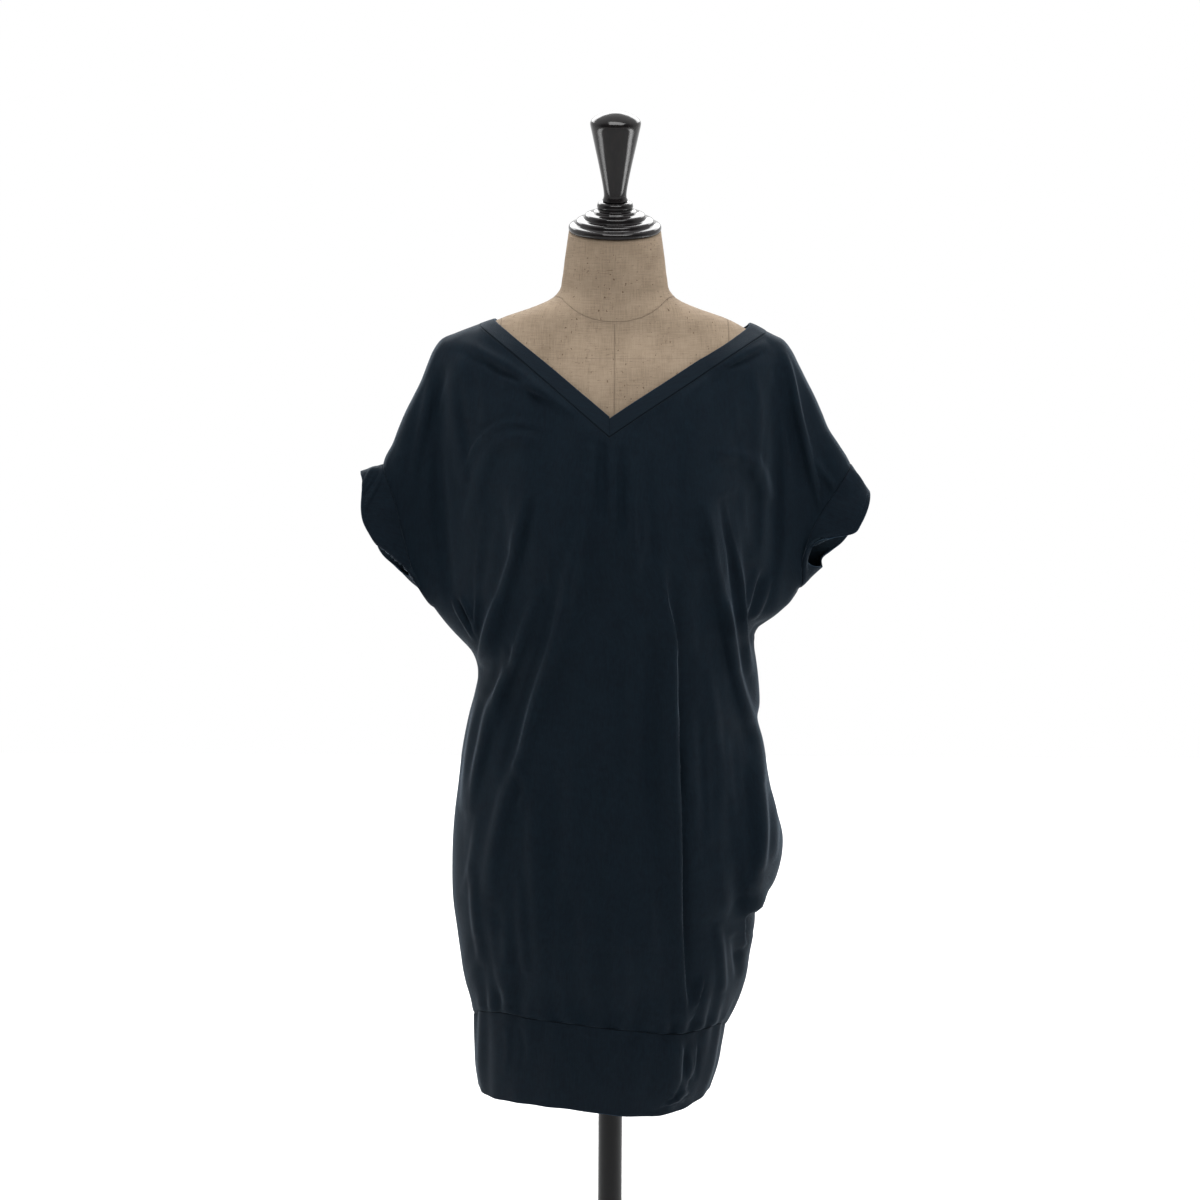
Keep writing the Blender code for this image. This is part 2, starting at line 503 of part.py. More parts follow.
def panel_points(face, share=1.0):
    """Middle of the front or back wall, as rows of points."""
    plan, spread, arm = panel_plan(face, share)
    x = plan[..., 0]
    z = plan[..., 1]
    depth = cloth_depth(x, z, face)
    depth[0, :arm + 1] = 0.0
    depth[0, -arm - 1:] = 0.0
    depth[z[:, 0] < SLEEVE_END_RIGHT[CUFF_SEAM_ROWS - 1][0] + SEAM_GAP, 0] = 0.0
    depth[z[:, -1] < SLEEVE_END_LEFT[CUFF_SEAM_ROWS - 1][0] + SEAM_GAP, -1] = 0.0
    rise = np.maximum(z - z[-1], 0.0)
    depth = depth + gathers(spread, rise) * np.clip(depth / GATHER_DEPTH, 0.0, 1.0)
    ring = ring_depth(x[-1], BAND_RINGS[0], face)
    hold = np.exp(-(rise / BAND_HOLD)**2)
    depth = depth * (1 - hold) + ring * hold + gathers(spread, rise) * hold
    y = (depth + 0.5 * SEAM_GAP) * (1.0 if face else -1.0)
    return np.stack((x, y, z), axis=-1)


def ring_depth(x, ring, face):
    """Depth of the hem band's oval at x."""
    return oval(x - ring[1], ring[2], ring[3 + face], BAND_SQUARENESS)


def band_points():
    """Rings of the hem band from its seam down to the hem."""
    rings = []
    turns = np.linspace(0.0, 2 * math.pi, RING_STEPS, endpoint=False)
    for ring in BAND_RINGS:
        cosine = np.cos(turns)
        x = ring[1] + ring[2] * np.sign(cosine) * np.abs(cosine)**(2 / BAND_SQUARENESS)
        rear = np.sin(turns) > 0
        sine = np.abs(np.sin(turns))**(2 / BAND_SQUARENESS)
        y = np.where(rear, ring[4] * sine, -ring[3] * sine)
        top = np.where(rear, table_value(BAND_TOP, 2, x), table_value(BAND_TOP, 1, x))
        foot = np.where(rear, table_value(BAND_BOTTOM, 2, x), table_value(BAND_BOTTOM, 1, x))
        rings.append(np.stack((x, y, top * (1 - ring[0]) + foot * ring[0]), axis=-1))
    return np.array(rings)


def cuff_points(place, seam_table, opening):
    """Rings of a cuff from its seam out to its opening. The ring starts at the top fold, front first.

    place is the column of the panels that the cuff is sewn to, 0 on the right and -1 on the left.
    """
    front = panel_points(0)[:YOKE_ROWS + 1, place]
    back = panel_points(1, BACK_SHARE)[:round(YOKE_ROWS * BACK_SHARE) + 1, place]
    inner = np.concatenate((front, back[::-1][1:-1]))
    inner[[0, YOKE_ROWS], 1] = 0.0
    rear = inner[:, 1] > 0
    height = inner[:, 2]
    share = np.clip((height[0] - height) / (height[0] - height[YOKE_ROWS]), 0.0, 1.0)
    depth = CUFF_OPENING_DEPTH * 2 * np.sqrt(share * (1 - share))
    outer_x = np.where(rear, table_value(opening, 3, share), table_value(opening, 1, share))
    outer_z = np.where(rear, table_value(opening, 4, share), table_value(opening, 2, share))
    outer = np.stack((outer_x, np.where(rear, depth, -depth), outer_z), axis=-1)

    above = table_value(seam_table, 1, height + SMALL_MOVE)
    below = table_value(seam_table, 1, height - SMALL_MOVE)
    slope = (above - below) / (2 * SMALL_MOVE)
    gap = SEAM_GAP * (1.0 + CUFF_FOOT_GAP * share**4) * math.copysign(1.0, inner[0, 0])
    square = np.stack((1.0 + 0.0 * slope, 0.0 * slope, -slope), axis=-1) / np.hypot(1.0, slope)[:, None]
    inner = inner + square * gap[:, None]
    return np.array([inner * (1 - t) + outer * t for t in np.linspace(0.0, 1.0, CUFF_RINGS)])


def neckline(points_right, points_left, face, shares):
    """Points of one neckline seam, from the right shoulder to the left, on the cloth."""
    right = along(points_right, shares)
    left = along(points_left, shares)[::-1][1:]
    plan = np.concatenate((right, left))
    depth = cloth_depth(plan[:, 0], plan[:, 1], face)
    return np.stack((plan[:, 0], depth * (1.0 if face else -1.0), plan[:, 1]), axis=-1)


def neckband_points():
    """Two rings of the neckband: its seam, and its free edge further up the form."""
    shares = np.linspace(0.0, 1.0, NECKBAND_STEPS)**NECK_CROWDING
    front = neckline(V_SEAM_RIGHT, V_SEAM_LEFT, 0, shares)
    back = neckline(BACK_SEAM_RIGHT, BACK_SEAM_LEFT, 1, shares)
    seam = np.concatenate((front, back[::-1][1:-1]))
    before = np.roll(seam, 1, axis=0)
    after = np.roll(seam, -1, axis=0)
    way = after - before
    middle = seam.mean(axis=0)
    rows = []
    for reach in (NECKBAND_GAP, 0.5 * NECKBAND_WIDTH, NECKBAND_WIDTH):
        ring = []
        for point, direction in zip(seam, way):
            ring.append(step_up(point, direction, reach, middle))
        rows.append(ring)
    return np.array(rows)


def step_up(point, direction, reach, middle):
    """Move a point of the neckline across the form's skin, square to the seam and towards the neck."""
    start = to_skin(point)
    lift = (point - start) * (1.0 - reach / NECKBAND_WIDTH)
    point = start
    for _ in range(BAND_STEPS):
        across = np.cross(skin_normal(point), direction)
        across = across / np.linalg.norm(across)
        if across[0] * (middle[0] - point[0]) + across[2] * (NECK_FOOT - point[2]) < 0:
            across = -across
        point = to_skin(point + across * reach / BAND_STEPS)
    return point + lift


def skin_level(point):
    """Below 1 inside the form's skin moved out by the ease, above 1 outside."""
    ease = ease_at(point[2])
    low = point[2] - ease
    half_width = table_value(TORSO_SECTIONS, 1, low) + ease
    face = 3 if point[1] > 0 else 2
    depth = table_value(TORSO_SECTIONS, face, low) + ease
    power = table_value(TORSO_SECTIONS, 4, low)
    return (abs(point[0]) / half_width)**power + (abs(point[1]) / depth)**power


def skin_normal(point):
    moves = np.eye(3) * SMALL_MOVE
    slope = [skin_level(point + move) - skin_level(point - move) for move in moves]
    return np.array(slope) / np.linalg.norm(slope)


def to_skin(point):
    """The nearest place to the point on the form's skin, moved out by the ease."""
    for _ in range(5):
        normal = skin_normal(point)
        move = normal * SMALL_MOVE
        slope = (skin_level(point + move) - skin_level(point - move)) / (2 * SMALL_MOVE)
        point = point + normal * (1.0 - skin_level(point)) / slope
    return point


def torso_points():
    """Rings of the form from its flat bottom to the top of the neck, which leans forward."""
    turns = np.linspace(0.0, 2 * math.pi, TORSO_STEPS, endpoint=False)
    rings = []
    for height, half_width, front, back, squareness in TORSO_SECTIONS:
        cosine = np.cos(turns)
        sine = np.sin(turns)
        power = 2.0 / squareness
        x = half_width * np.sign(cosine) * np.abs(cosine)**power
        y = np.where(sine > 0, back, front) * np.sign(sine) * np.abs(sine)**power
        lean = math.tan(NECK_LEAN) * smooth_step(NECK_FOOT, NECK_TOP[2], height)
        rings.append(np.stack((x, y, height + (y - NECK_TOP[1]) * lean), axis=-1))
    return np.array(rings)


# ================================================================ objects
def material(name, color, roughness, metallic=0.0):
    """A plain Principled material."""
    made = bpy.data.materials.new(name)
    made.use_nodes = True
    shader = made.node_tree.nodes["Principled BSDF"]
    shader.inputs["Base Color"].default_value = (*color, 1.0)
    shader.inputs["Roughness"].default_value = roughness
    shader.inputs["Metallic"].default_value = metallic
    return made


def loft(name, rows, closed, capped=False):
    """A mesh through rows of points. closed joins each row into a ring, capped fills the end rings."""
    count, width = rows.shape[:2]
    points = [tuple(point) for row in rows for point in row]
    faces = []
    for row in range(count - 1):
        for place in range(width if closed else width - 1):
            after = (place + 1) % width
            faces.append((row * width + place, row * width + after,
                          (row + 1) * width + after, (row + 1) * width + place))
    if capped:
        faces.append(tuple(range(width))[::-1])
        faces.append(tuple(range((count - 1) * width, count * width)))
    mesh = bpy.data.meshes.new(name)
    mesh.from_pydata(points, [], faces)
    mesh.update()
    return mesh


def place_object(name, mesh, finish, collection):
    made = bpy.data.objects.new(name, mesh)
    mesh.materials.append(finish)
    mesh.shade_smooth()
    collection.objects.link(made)
    return made


def cloth_object(name, rows, closed, wall, finish, collection):
    """A wall of cloth whose middle goes through the rows of points."""
    made = place_object(name, loft(name, rows, closed), finish, collection)
    solid = made.modifiers.new("wall", "SOLIDIFY")
    solid.thickness = wall
    solid.offset = 0.0
    return made


def turned_object(name, profile, finish, collection, steps):
    """A turned piece from a profile of (radius, height), from the top down the outer side."""
    mesh = bpy.data.meshes.new(name)
    points = [(radius, 0.0, height) for radius, height in profile]
    mesh.from_pydata(points, [(index, index + 1) for index in range(len(points) - 1)], [])
    made = place_object(name, mesh, finish, collection)
    screw = made.modifiers.new("turn", "SCREW")
    screw.steps = steps
    screw.render_steps = steps
    screw.use_merge_vertices = True
    screw.merge_threshold = 0.00001
    return made


def build():
    for item in list(bpy.data.objects):
        bpy.data.objects.remove(item)
    parts = bpy.data.collections.new("tunic_dress_on_form")
    bpy.context.scene.collection.children.link(parts)

    jersey = material("navy_jersey", (0.008, 0.012, 0.016), 0.85)
    linen = material("natural_linen", (0.36, 0.29, 0.22), 0.90)
    lacquer = material("lacquered_wood", (0.012, 0.010, 0.010), 0.18)
    enamel = material("black_enamel", (0.018, 0.019, 0.020), 0.35)

    cloth_object("front_panel", panel_points(0)[::-1], False, JERSEY_WALL, jersey, parts)
    cloth_object("back_panel", panel_points(1, BACK_SHARE), False, JERSEY_WALL, jersey, parts)
    cloth_object("neckband", neckband_points(), True, BAND_WALL, jersey, parts)
    cuff_right = cuff_points(0, SLEEVE_END_RIGHT, CUFF_OPENING_RIGHT)
    cuff_left = cuff_points(-1, SLEEVE_END_LEFT, CUFF_OPENING_LEFT)[::-1]
    cloth_object("cuff_right", cuff_right, True, BAND_WALL, jersey, parts)
    cloth_object("cuff_left", cuff_left, True, BAND_WALL, jersey, parts)
    cloth_object("hem_band", band_points()[::-1], True, BAND_WALL, jersey, parts)

    place_object("form_torso", loft("form_torso", torso_points(), True, capped=True), linen, parts)
    cap = turned_object("neck_cap", CAP_PROFILE, lacquer, parts, TURNED_STEPS)
    finial = turned_object("finial", FINIAL_PROFILE, lacquer, parts, TURNED_STEPS)
    leaning_up = np.array((0.0, -math.sin(NECK_LEAN), math.cos(NECK_LEAN)))
    for piece, rise in ((cap, STAND_GAP), (finial, STAND_GAP + FINIAL_FOOT)):
        piece.location = np.array(NECK_TOP) + leaning_up * rise
        piece.rotation_euler = (NECK_LEAN, 0.0, 0.0)

    foot = BASE_HEIGHT + STAND_GAP
    head = TORSO_SECTIONS[0][0] - STAND_GAP
    bpy.ops.mesh.primitive_cylinder_add(vertices=TURNED_STEPS, radius=POLE_RADIUS, depth=head - foot,
                                        location=(0.0, 0.0, 0.5 * (head + foot)))
    pole = bpy.context.object
    pole.name = "pole"
    pole.data.materials.append(enamel)
    for collection in list(pole.users_collection):
        collection.objects.unlink(pole)
    parts.objects.link(pole)
    turned_object("stand_base", BASE_PROFILE, enamel, parts, BASE_STEPS)


build()
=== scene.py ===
"""Looks of the tunic dress on its dress form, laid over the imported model.

The cloth is worked out here as the solids are, from the same outline and depth tables, on finer grids
and with the finer creases, gathers, hems and stitches. The tables are written in millimetres and
everything else in metres. +Z is up and the dress faces -Y. The wearer's left is +X.
"""
import math

import bpy
import numpy as np
from mathutils import Matrix


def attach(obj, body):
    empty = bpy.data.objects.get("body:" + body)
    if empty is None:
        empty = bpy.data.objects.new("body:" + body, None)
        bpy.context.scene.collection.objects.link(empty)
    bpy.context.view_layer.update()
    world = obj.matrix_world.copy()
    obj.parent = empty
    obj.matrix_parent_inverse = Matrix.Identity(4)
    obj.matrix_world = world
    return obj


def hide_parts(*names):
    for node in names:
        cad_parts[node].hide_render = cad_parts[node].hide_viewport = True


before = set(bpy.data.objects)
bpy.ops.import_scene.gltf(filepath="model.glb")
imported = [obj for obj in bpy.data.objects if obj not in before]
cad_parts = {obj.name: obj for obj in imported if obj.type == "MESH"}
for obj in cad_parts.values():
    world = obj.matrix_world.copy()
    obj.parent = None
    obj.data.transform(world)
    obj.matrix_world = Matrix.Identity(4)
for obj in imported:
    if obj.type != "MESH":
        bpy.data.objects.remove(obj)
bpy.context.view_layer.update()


def mm(rows, *plain):
    """A table written in millimetres, in metres. Its plain columns hold shares and powers."""
    return tuple(tuple(value if place in plain else round(value / 1000, 6) for place, value in enumerate(row))
                 for row in rows)


def creases(*rows):
    """Folds, each from its half width, its height, and then x and height of each point of its line.

    A height above 0 is a ridge and below 0 a trough. A round fold falls away alike on both sides. A step
    stands proud on its right and drops at the line.
    """
    found = []
    for row in rows:
        shape, row = ("step", row[1:]) if row[0] == "step" else ("round", row)
        half_width, height, *line = (round(value / 1000, 6) for value in row)
        found.append((shape, half_width, height, tuple(zip(line[::2], line[1::2]))))
    return tuple(found)


# ---------------------------------------------------------------- front outline of the dress
# Shoulder seam, from the cuff up to the neckband, one table for each arm.
ARM_RIGHT = mm((
    # x, height
    (-262, 1212), (-260, 1219), (-251, 1236), (-244, 1254), (-236, 1272.5), (-226.5, 1291), (-217.5, 1309),
    (-210.5, 1327), (-203, 1344), (-195, 1354.5), (-178, 1362.2), (-152, 1372.2),
))
ARM_LEFT = mm((
    # x, height
    (269, 1215), (266, 1221), (255, 1238), (243, 1256), (235, 1274.5), (226.5, 1293), (217, 1311),
    (207.7, 1329), (198.5, 1346), (190, 1356), (180, 1361), (171, 1365.5),
))
# Cuff seam from the top down, then the underarm seam to the underarm point.
SLEEVE_END_RIGHT = mm((
    # height, x
    (1212, -262), (1180, -250), (1130, -238), (1085, -225), (1048, -205), (1032, -192), (1014, -175),
    (999, -162), (986, -156),
))
SLEEVE_END_LEFT = mm((
    # height, x
    (1215, 269), (1185, 250), (1140, 224.5), (1105, 215), (1072, 213), (1055, 202), (1040, 184),
    (1028, 167.5), (1018, 162.5),
))
CUFF_SEAM_ROWS = 5         # rows of the two tables above that belong to the cuff seam
# Side seams from the underarm point down to the band.
SIDE_RIGHT = mm((
    # height, x
    (986, -156), (970, -154.5), (950, -158), (919, -166), (880, -173.5), (842, -178), (800, -183.2),
    (745, -186), (700, -185), (667, -180.5), (637, -176), (608, -172), (580, -164.5), (560, -161),
))
SIDE_LEFT = mm((
    # height, x
    (1018, 162.5), (1004, 162.2), (990, 164.5), (958, 168), (940, 168.5), (920, 165.8), (900, 170),
    (861, 179), (823, 187.5), (800, 194), (780, 199), (760, 199), (740, 195), (722, 188), (708, 178),
    (695, 171.2), (667, 168), (637, 163), (608, 159), (580, 150.5), (560, 142), (547, 134.5),
))
# Neckline seam, from the shoulder to the middle.
V_SEAM_RIGHT = mm((
    # x, height
    (-152, 1372.2), (-140, 1365), (-125, 1355), (-77, 1318), (-29, 1278.5), (-5.5, 1259),
))
V_SEAM_LEFT = mm((
    # x, height
    (171, 1365.5), (156, 1359), (139, 1350), (80, 1314), (23, 1278), (-5.5, 1259),
))
BACK_SEAM_RIGHT = mm((
    # x, height
    (-152, 1372.2), (-143, 1362), (-128, 1351), (-90, 1337), (-45, 1329), (10, 1326.5),
))
BACK_SEAM_LEFT = mm((
    # x, height
    (171, 1365.5), (160, 1358), (142, 1348), (102, 1336), (58, 1328.5), (10, 1326.5),
))
NECKBAND_WIDTH = 0.018
SMALL_MOVE = 0.0001        # step for slopes of the form's skin

# ---------------------------------------------------------------- depth of the dress, front and back
BODY_DEPTH = mm((
    # height, front, back, squareness of the section, half width of the drape above the underarms
    (545, 104, 98, 2.2, 170), (575, 106.5, 101, 2.2, 170), (620, 114, 111, 2.2, 170),
    (700, 121.5, 121, 2.2, 170), (800, 121.5, 122, 2.2, 170), (900, 118.5, 116, 2.2, 170),
    (1000, 116.5, 107, 2.2, 172), (1080, 118, 103, 2.2, 174), (1165, 122.5, 103, 2.3, 176),
    (1235, 112, 102, 2.3, 183), (1300, 93, 97, 2.3, 190), (1340, 77, 85, 2.3, 196),
    (1380, 60, 68, 2.3, 200),
), 3)
DRAPE_POWER = 3.5          # how square the drape is across the chest
SLEEVE_DEPTH = 0.0170      # half thickness of a sleeve that hangs flat
SLEEVE_ROUNDING = 0.0220   # radius of a sleeve's upper edge
UNDERARM_ROUNDING = 0.0340 # radius of its lower edge
SHOULDER_ROUNDING = 0.0450
DRAPE_FOOT = 0.98          # height where the body section becomes a closed oval
DRAPE_HEAD = 1.09          # height where the sleeves are wholly apart from it
SLEEVE_FOOT = 1.04         # height above which a sleeve keeps its own thickness
SHOULDER_FOOT = 1.24       # from here up to SHOULDER_HEAD a sleeve's edge turns into the rounder shoulder
SHOULDER_HEAD = 1.36
SEAM_ROUNDING = 0.0035     # radius of the cloth's edge at the shoulder seam
CHEST_EASE = 0.0034        # from the form's skin to the middle of the cloth that lies on the chest
SHOULDER_EASE = 0.0014     # the same on the shoulders, which carry the dress
EASE_FOOT = 1.27           # heights between which the one turns into the other
EASE_HEAD = 1.35
BLEND_WIDTH = 0.010        # softness where two forms of the cloth meet
FOLD_DEPTH = 0.040         # folds fade out where the cloth is less deep than this

# ---------------------------------------------------------------- hem band
BAND_TOP = mm((
    # x, height of the seam in front, height at the back
    (-161, 560, 560), (-156, 570.5, 562.5), (-145, 578, 565), (-124, 584.5, 566.7), (-97, 584, 570),
    (-50, 582, 571), (-9, 577.3, 570.5), (32, 572.2, 568.5), (61.5, 566.4, 565.5), (84, 563.6, 562.5),
    (111, 563.2, 559), (127, 560, 553.5), (132, 556, 550.5), (135, 547, 547),
))
BAND_TOP_HALF_WIDTH = 0.1480
BAND_TOP_MIDDLE = -0.0130
BAND_SQUARENESS = 2.2
BAND_RINGS = mm((
    # share of the way down, middle x, half width, front, back
    (0, -13, 148, 105.5, 99.5), (0.35, -15, 146.2, 108, 101), (0.75, -17.2, 142.5, 106.5, 99.5),
    (1, -19, 137, 103, 96.5),
), 0)
BAND_BOTTOM = mm((
    # x, height of the hem in front, height at the back
    (-156, 470, 470), (-110, 477, 473), (-50, 477, 474), (20, 468, 472), (65, 465, 471), (118, 473, 473),
))

# ---------------------------------------------------------------- cuffs
CUFF_OPENING_RIGHT = mm((
    # share of the way down the seam, front x, front height, back x, back height
    (0, -288.4, 1203.8, -288.4, 1203.8), (0.08, -285.2, 1196.5, -286.2, 1193),
    (0.2, -285.7, 1181, -283.7, 1180), (0.34, -286.2, 1165, -280.1, 1156.3),
    (0.46, -283.8, 1150.5, -277.4, 1133), (0.57, -277, 1137, -272.5, 1112),
    (0.68, -269, 1125, -264.2, 1099.9), (0.77, -260, 1124, -254.3, 1092),
    (0.85, -248.8, 1121.5, -245.3, 1085.6), (0.91, -239.2, 1116.5, -240, 1082.8),
    (0.96, -232.8, 1107.5, -234.8, 1081.2), (1, -229.8, 1085.2, -229.8, 1085.2),
), 0)
CUFF_OPENING_LEFT = mm((
    # share of the way down the seam, front x, front height, back x, back height
    (0, 292.1, 1182.6, 292.1, 1182.6), (0.12, 290.1, 1172.9, 290.8, 1169),
    (0.24, 286.2, 1161.6, 288.2, 1157), (0.35, 280.4, 1150, 281.8, 1144.8),
    (0.43, 274.5, 1140.5, 277, 1137), (0.5, 262.4, 1137.2, 273.5, 1130.9),
    (0.57, 249.9, 1135.4, 268.1, 1123.4), (0.64, 238.6, 1133.6, 263, 1118),
    (0.7, 229.7, 1130, 257.8, 1114.1), (0.76, 224, 1121.5, 253, 1111.2),
    (0.82, 220.8, 1111.4, 247.6, 1108.5), (0.88, 222.1, 1104.6, 241.8, 1105.2),
    (0.94, 228.3, 1099.8, 239.6, 1101), (1, 240, 1097.1, 240, 1097.1),
), 0)
CUFF_OPENING_DEPTH = 0.0300

# ---------------------------------------------------------------- folds
FRONT_FOLDS = creases(
    ("step", 34, 8.5, 58, 1165, 59, 1079, 67, 1045, 70, 900, 76, 787, 80, 669, 85, 590),
    (15, 6, -24, 1250, -34, 1188, -46, 1110, -67, 1026, -91, 949, -118, 850, -134, 789, -141, 720),
    (13, 4.5, -78, 1094, -100, 1035, -123, 974, -142, 920, -160, 850, -168, 790),
    (14, -6, -134, 1200, -145, 1130, -150, 1030, -146, 960),
    (13, 5, -98, 1200, -108, 1140, -124, 1080, -141, 1000),
    (13, -5, -76, 1267, -121, 1270, -150, 1245, -166, 1200),
    (13, 4, -85, 1256, -128, 1252, -148, 1215, -152, 1160),
    (12, 4.5, 108, 1238, 140, 1236, 160, 1215, 177, 1175), (13, -6, 147, 1225, 157, 1180, 158, 1120),
    (11, 4.5, 98, 1190, 113, 1110, 128, 1040, 140, 985), (11, -4.5, 116, 1192, 131, 1115, 145, 1030),
    (12, 5, 124, 1074, 143, 973, 160, 912, 174, 850),
    (12, 3.5, -173, 1355, -133, 1341, -102, 1325, -70, 1303), (12, 3, -124, 1318, -82, 1308, -44, 1283),
    (12, 3.5, 170, 1355, 143, 1347, 108, 1328), (15, -9, -194, 1325, -198, 1250, -194, 1140, -180, 1050),
    (13, 6, -176, 1340, -177, 1280, -170, 1200), (15, -8, 176, 1330, 180, 1240, 180, 1110, 172, 1050),
    (12, 6, 190, 1345, 200, 1315, 212, 1265, 224, 1220, 236, 1170),
    (24, 10, 158, 905, 167, 850, 172, 790, 168, 725), (16, -7, 128, 850, 136, 780, 146, 700, 150, 640),
)
BACK_FOLDS = creases(
    (18, 7, -75, 1180, -85, 1050, -96, 900, -104, 720), (16, -6, -45, 1130, -52, 980, -60, 800),
    (18, 6, -10, 1100, -14, 940, -22, 760, -24, 640), (17, -6, 30, 1150, 34, 960, 30, 780),
    (19, 8, 82, 1190, 88, 1040, 92, 880, 86, 700), (16, -6, 125, 1120, 132, 980, 140, 830, 136, 690),
    (16, 5, 150, 1060, 156, 930, 164, 820), (16, -6, -125, 1130, -134, 980, -146, 820),
    (14, 4, -165, 1345, -110, 1300, -50, 1285), (14, 4, 165, 1345, 115, 1298, 60, 1285),
    (15, -8, -193, 1320, -196, 1230, -186, 1090), (15, -8, 186, 1320, 190, 1230, 184, 1100),
    (24, 8, 156, 880, 166, 800, 164, 730),
)
BAND_HOLD = 0.045          # height over which the panels keep the band's section

# ---------------------------------------------------------------- the form
TORSO_SECTIONS = mm((
    # height, half width, front, back, squareness
    (680, 158, 90, 106, 2.3), (730, 166, 96, 113, 2.3), (790, 168, 98, 115, 2.3), (880, 154, 91, 104, 2.3),
    (990, 118, 82, 74, 2.2), (1070, 128, 96, 79, 2.2), (1120, 138.5, 111, 86, 2.3),
    (1165, 145, 117.5, 92, 2.3), (1210, 152, 114, 96, 2.3), (1260, 163, 101, 95, 2.6),
    (1300, 173, 88, 91, 2.8), (1330, 178, 74, 82, 2.8), (1350, 173, 61.5, 70, 2.5),
    (1360, 163, 56, 63, 2.3), (1368, 149, 52.5, 59, 2.2), (1380, 126, 50, 56, 2), (1391, 94, 48, 57, 2),
    (1400, 73, 46.5, 59, 2), (1410, 62.5, 46, 59.5, 2), (1424, 59, 47, 57, 2), (1445, 56.2, 49, 53, 2),
    (1478, 51.5, 51.8, 48.2, 2),
), 4)
NECK_FOOT = 1.395          # height where the neck starts to lean forward
NECK_LEAN = math.radians(10.0)
NECK_TOP = (0.0, -0.0018, 1.4780)
STAND_GAP = 0.0003         # between hard pieces that stand on each other

CAP_PROFILE = mm((
    # radius, height above the neck, from the top down the outer side
    (0, 33), (15, 33), (19, 31.5), (20.5, 27.5), (19, 23.5), (23.5, 22.5), (25, 20), (33, 19), (34.5, 15),
    (34.5, 13.5), (43, 12.5), (44.5, 8), (50, 7), (52, 4.5), (52, 1.5), (50.5, 0), (0, 0),
))
FINIAL_FOOT = 0.0333       # above the neck
FINIAL_PROFILE = mm((
    # radius, height above the finial's foot, from the top down the outer side
    (0, 100), (8, 99.3), (16, 97), (23, 93.5), (27, 90), (28.3, 87), (28, 84), (26.2, 76), (22.8, 60),
    (19, 43), (15.5, 26), (13.2, 13), (12.5, 6), (13.5, 2), (15, 0), (0, 0),
))
POLE_RADIUS = 0.0143
BASE_PROFILE = mm((
    # radius, height, from the top down the outer side
    (0, 30), (21, 30), (24, 28.5), (25.5, 24), (30, 19), (60, 16), (120, 13), (170, 10.5), (177.5, 9),
    (180, 6), (180, 1.5), (178.5, 0), (0, 0),
))

BAND_STEPS_ROUND = 460     # fine steps round the hem band
BAND_ROWS = 56
CUFF_ROWS = 34
NECKBAND_STEPS = 560
NECKBAND_ROWS = 18
TORSO_ROUND = 280
TORSO_ROWS = 190
NECK_SEAM_TOP = 1.4045     # the seam between the form's neck and shoulders, at the sides
NECK_SEAM_DIP_FRONT = 0.0245
NECK_SEAM_DIP_BACK = 0.0040
NECK_SEAM_HALF_WIDTH = 0.0600
NECK_SEAM_POWER = 2.4
STITCH_LENGTH = 0.0030
HEM_STITCHING = 0.0065     # from a cuff's free edge to its stitching
SIDE_SEAM_X = 0.1275       # the form's side panels start here
HEM_SMOOTHING = 3
SHOULDER_STAND = 0.0070    # how far the neckband stands off the form on the wearer's left shoulder
CUFF_CREASES = creases(
    (2.8, 2.2, -270, 1208, -275, 1204, -281, 1196, -286, 1186),
    (3, 2.6, -262, 1209, -264, 1200, -270, 1188, -277, 1176, -285, 1160),
    (3, -2, -266, 1204, -272, 1195, -279, 1185, -285, 1176),
)
BAND_CREASES_FRONT = creases(
    ("step", 60, 8, 79, 567, 75.5, 545, 74, 525, 76.5, 505, 83, 486),
    ("step", 16, 3, 96, 556, 97.5, 540, 95, 520, 90, 505),
    ("step", 20, 3.6, 60, 480, 68, 483, 76, 488, 84, 496), (5, -2, 80, 560, 82, 530, 76, 500, 68, 484),
    (5, 2.2, 88, 548, 90, 520, 84, 496), (5, -1.6, 96, 552, 100, 525, 98, 500),
    (4.5, 1.8, 66, 494, 74, 486, 84, 480), (6, 1.2, -120, 570, -118, 540, -124, 510),
    (6, -1.2, -104, 572, -100, 545, -104, 520), (7, 1.2, -60, 574, -52, 540, -40, 505),
    (7, -1, -30, 570, -20, 540, -12, 510), (7, 1, 10, 560, 16, 530, 12, 500),
    (7, -1.2, 40, 560, 46, 530, 44, 500),
)
BAND_CREASES_BACK = creases(
    (7, 1.4, -110, 560, -104, 530, -108, 500), (6, -1.4, -80, 562, -74, 530, -78, 505),
    (7, 1.2, -30, 564, -26, 535, -34, 505), (7, -1.2, 20, 560, 24, 530, 18, 500),
    (6, 1.6, 70, 556, 76, 526, 72, 500),
)
# ================================================================ curves and tables
def smooth_value(knots, values, where):
    """Smooth curve through the values at rising knots, read at where."""
    slopes = np.gradient(values, knots)
    where = np.clip(where, knots[0], knots[-1])
    at = np.clip(np.searchsorted(knots, where) - 1, 0, len(knots) - 2)
    step = knots[at + 1] - knots[at]
    t = (where - knots[at]) / step
    return ((2 * t**3 - 3 * t**2 + 1) * values[at] + (t**3 - 2 * t**2 + t) * step * slopes[at]
            + (3 * t**2 - 2 * t**3) * values[at + 1] + (t**3 - t**2) * step * slopes[at + 1])


def straight_value(knots, values, where):
    return np.interp(where, knots, values)


def table_value(table, index, where):
    """A column of a table whose first column rises or falls, read at where."""
    knots, values = (np.array([row[place] for row in table]) for place in (0, index))
    way = -1 if knots[0] > knots[-1] else 1
    return smooth_value(knots[::way], values[::way], np.asarray(where, dtype=float))


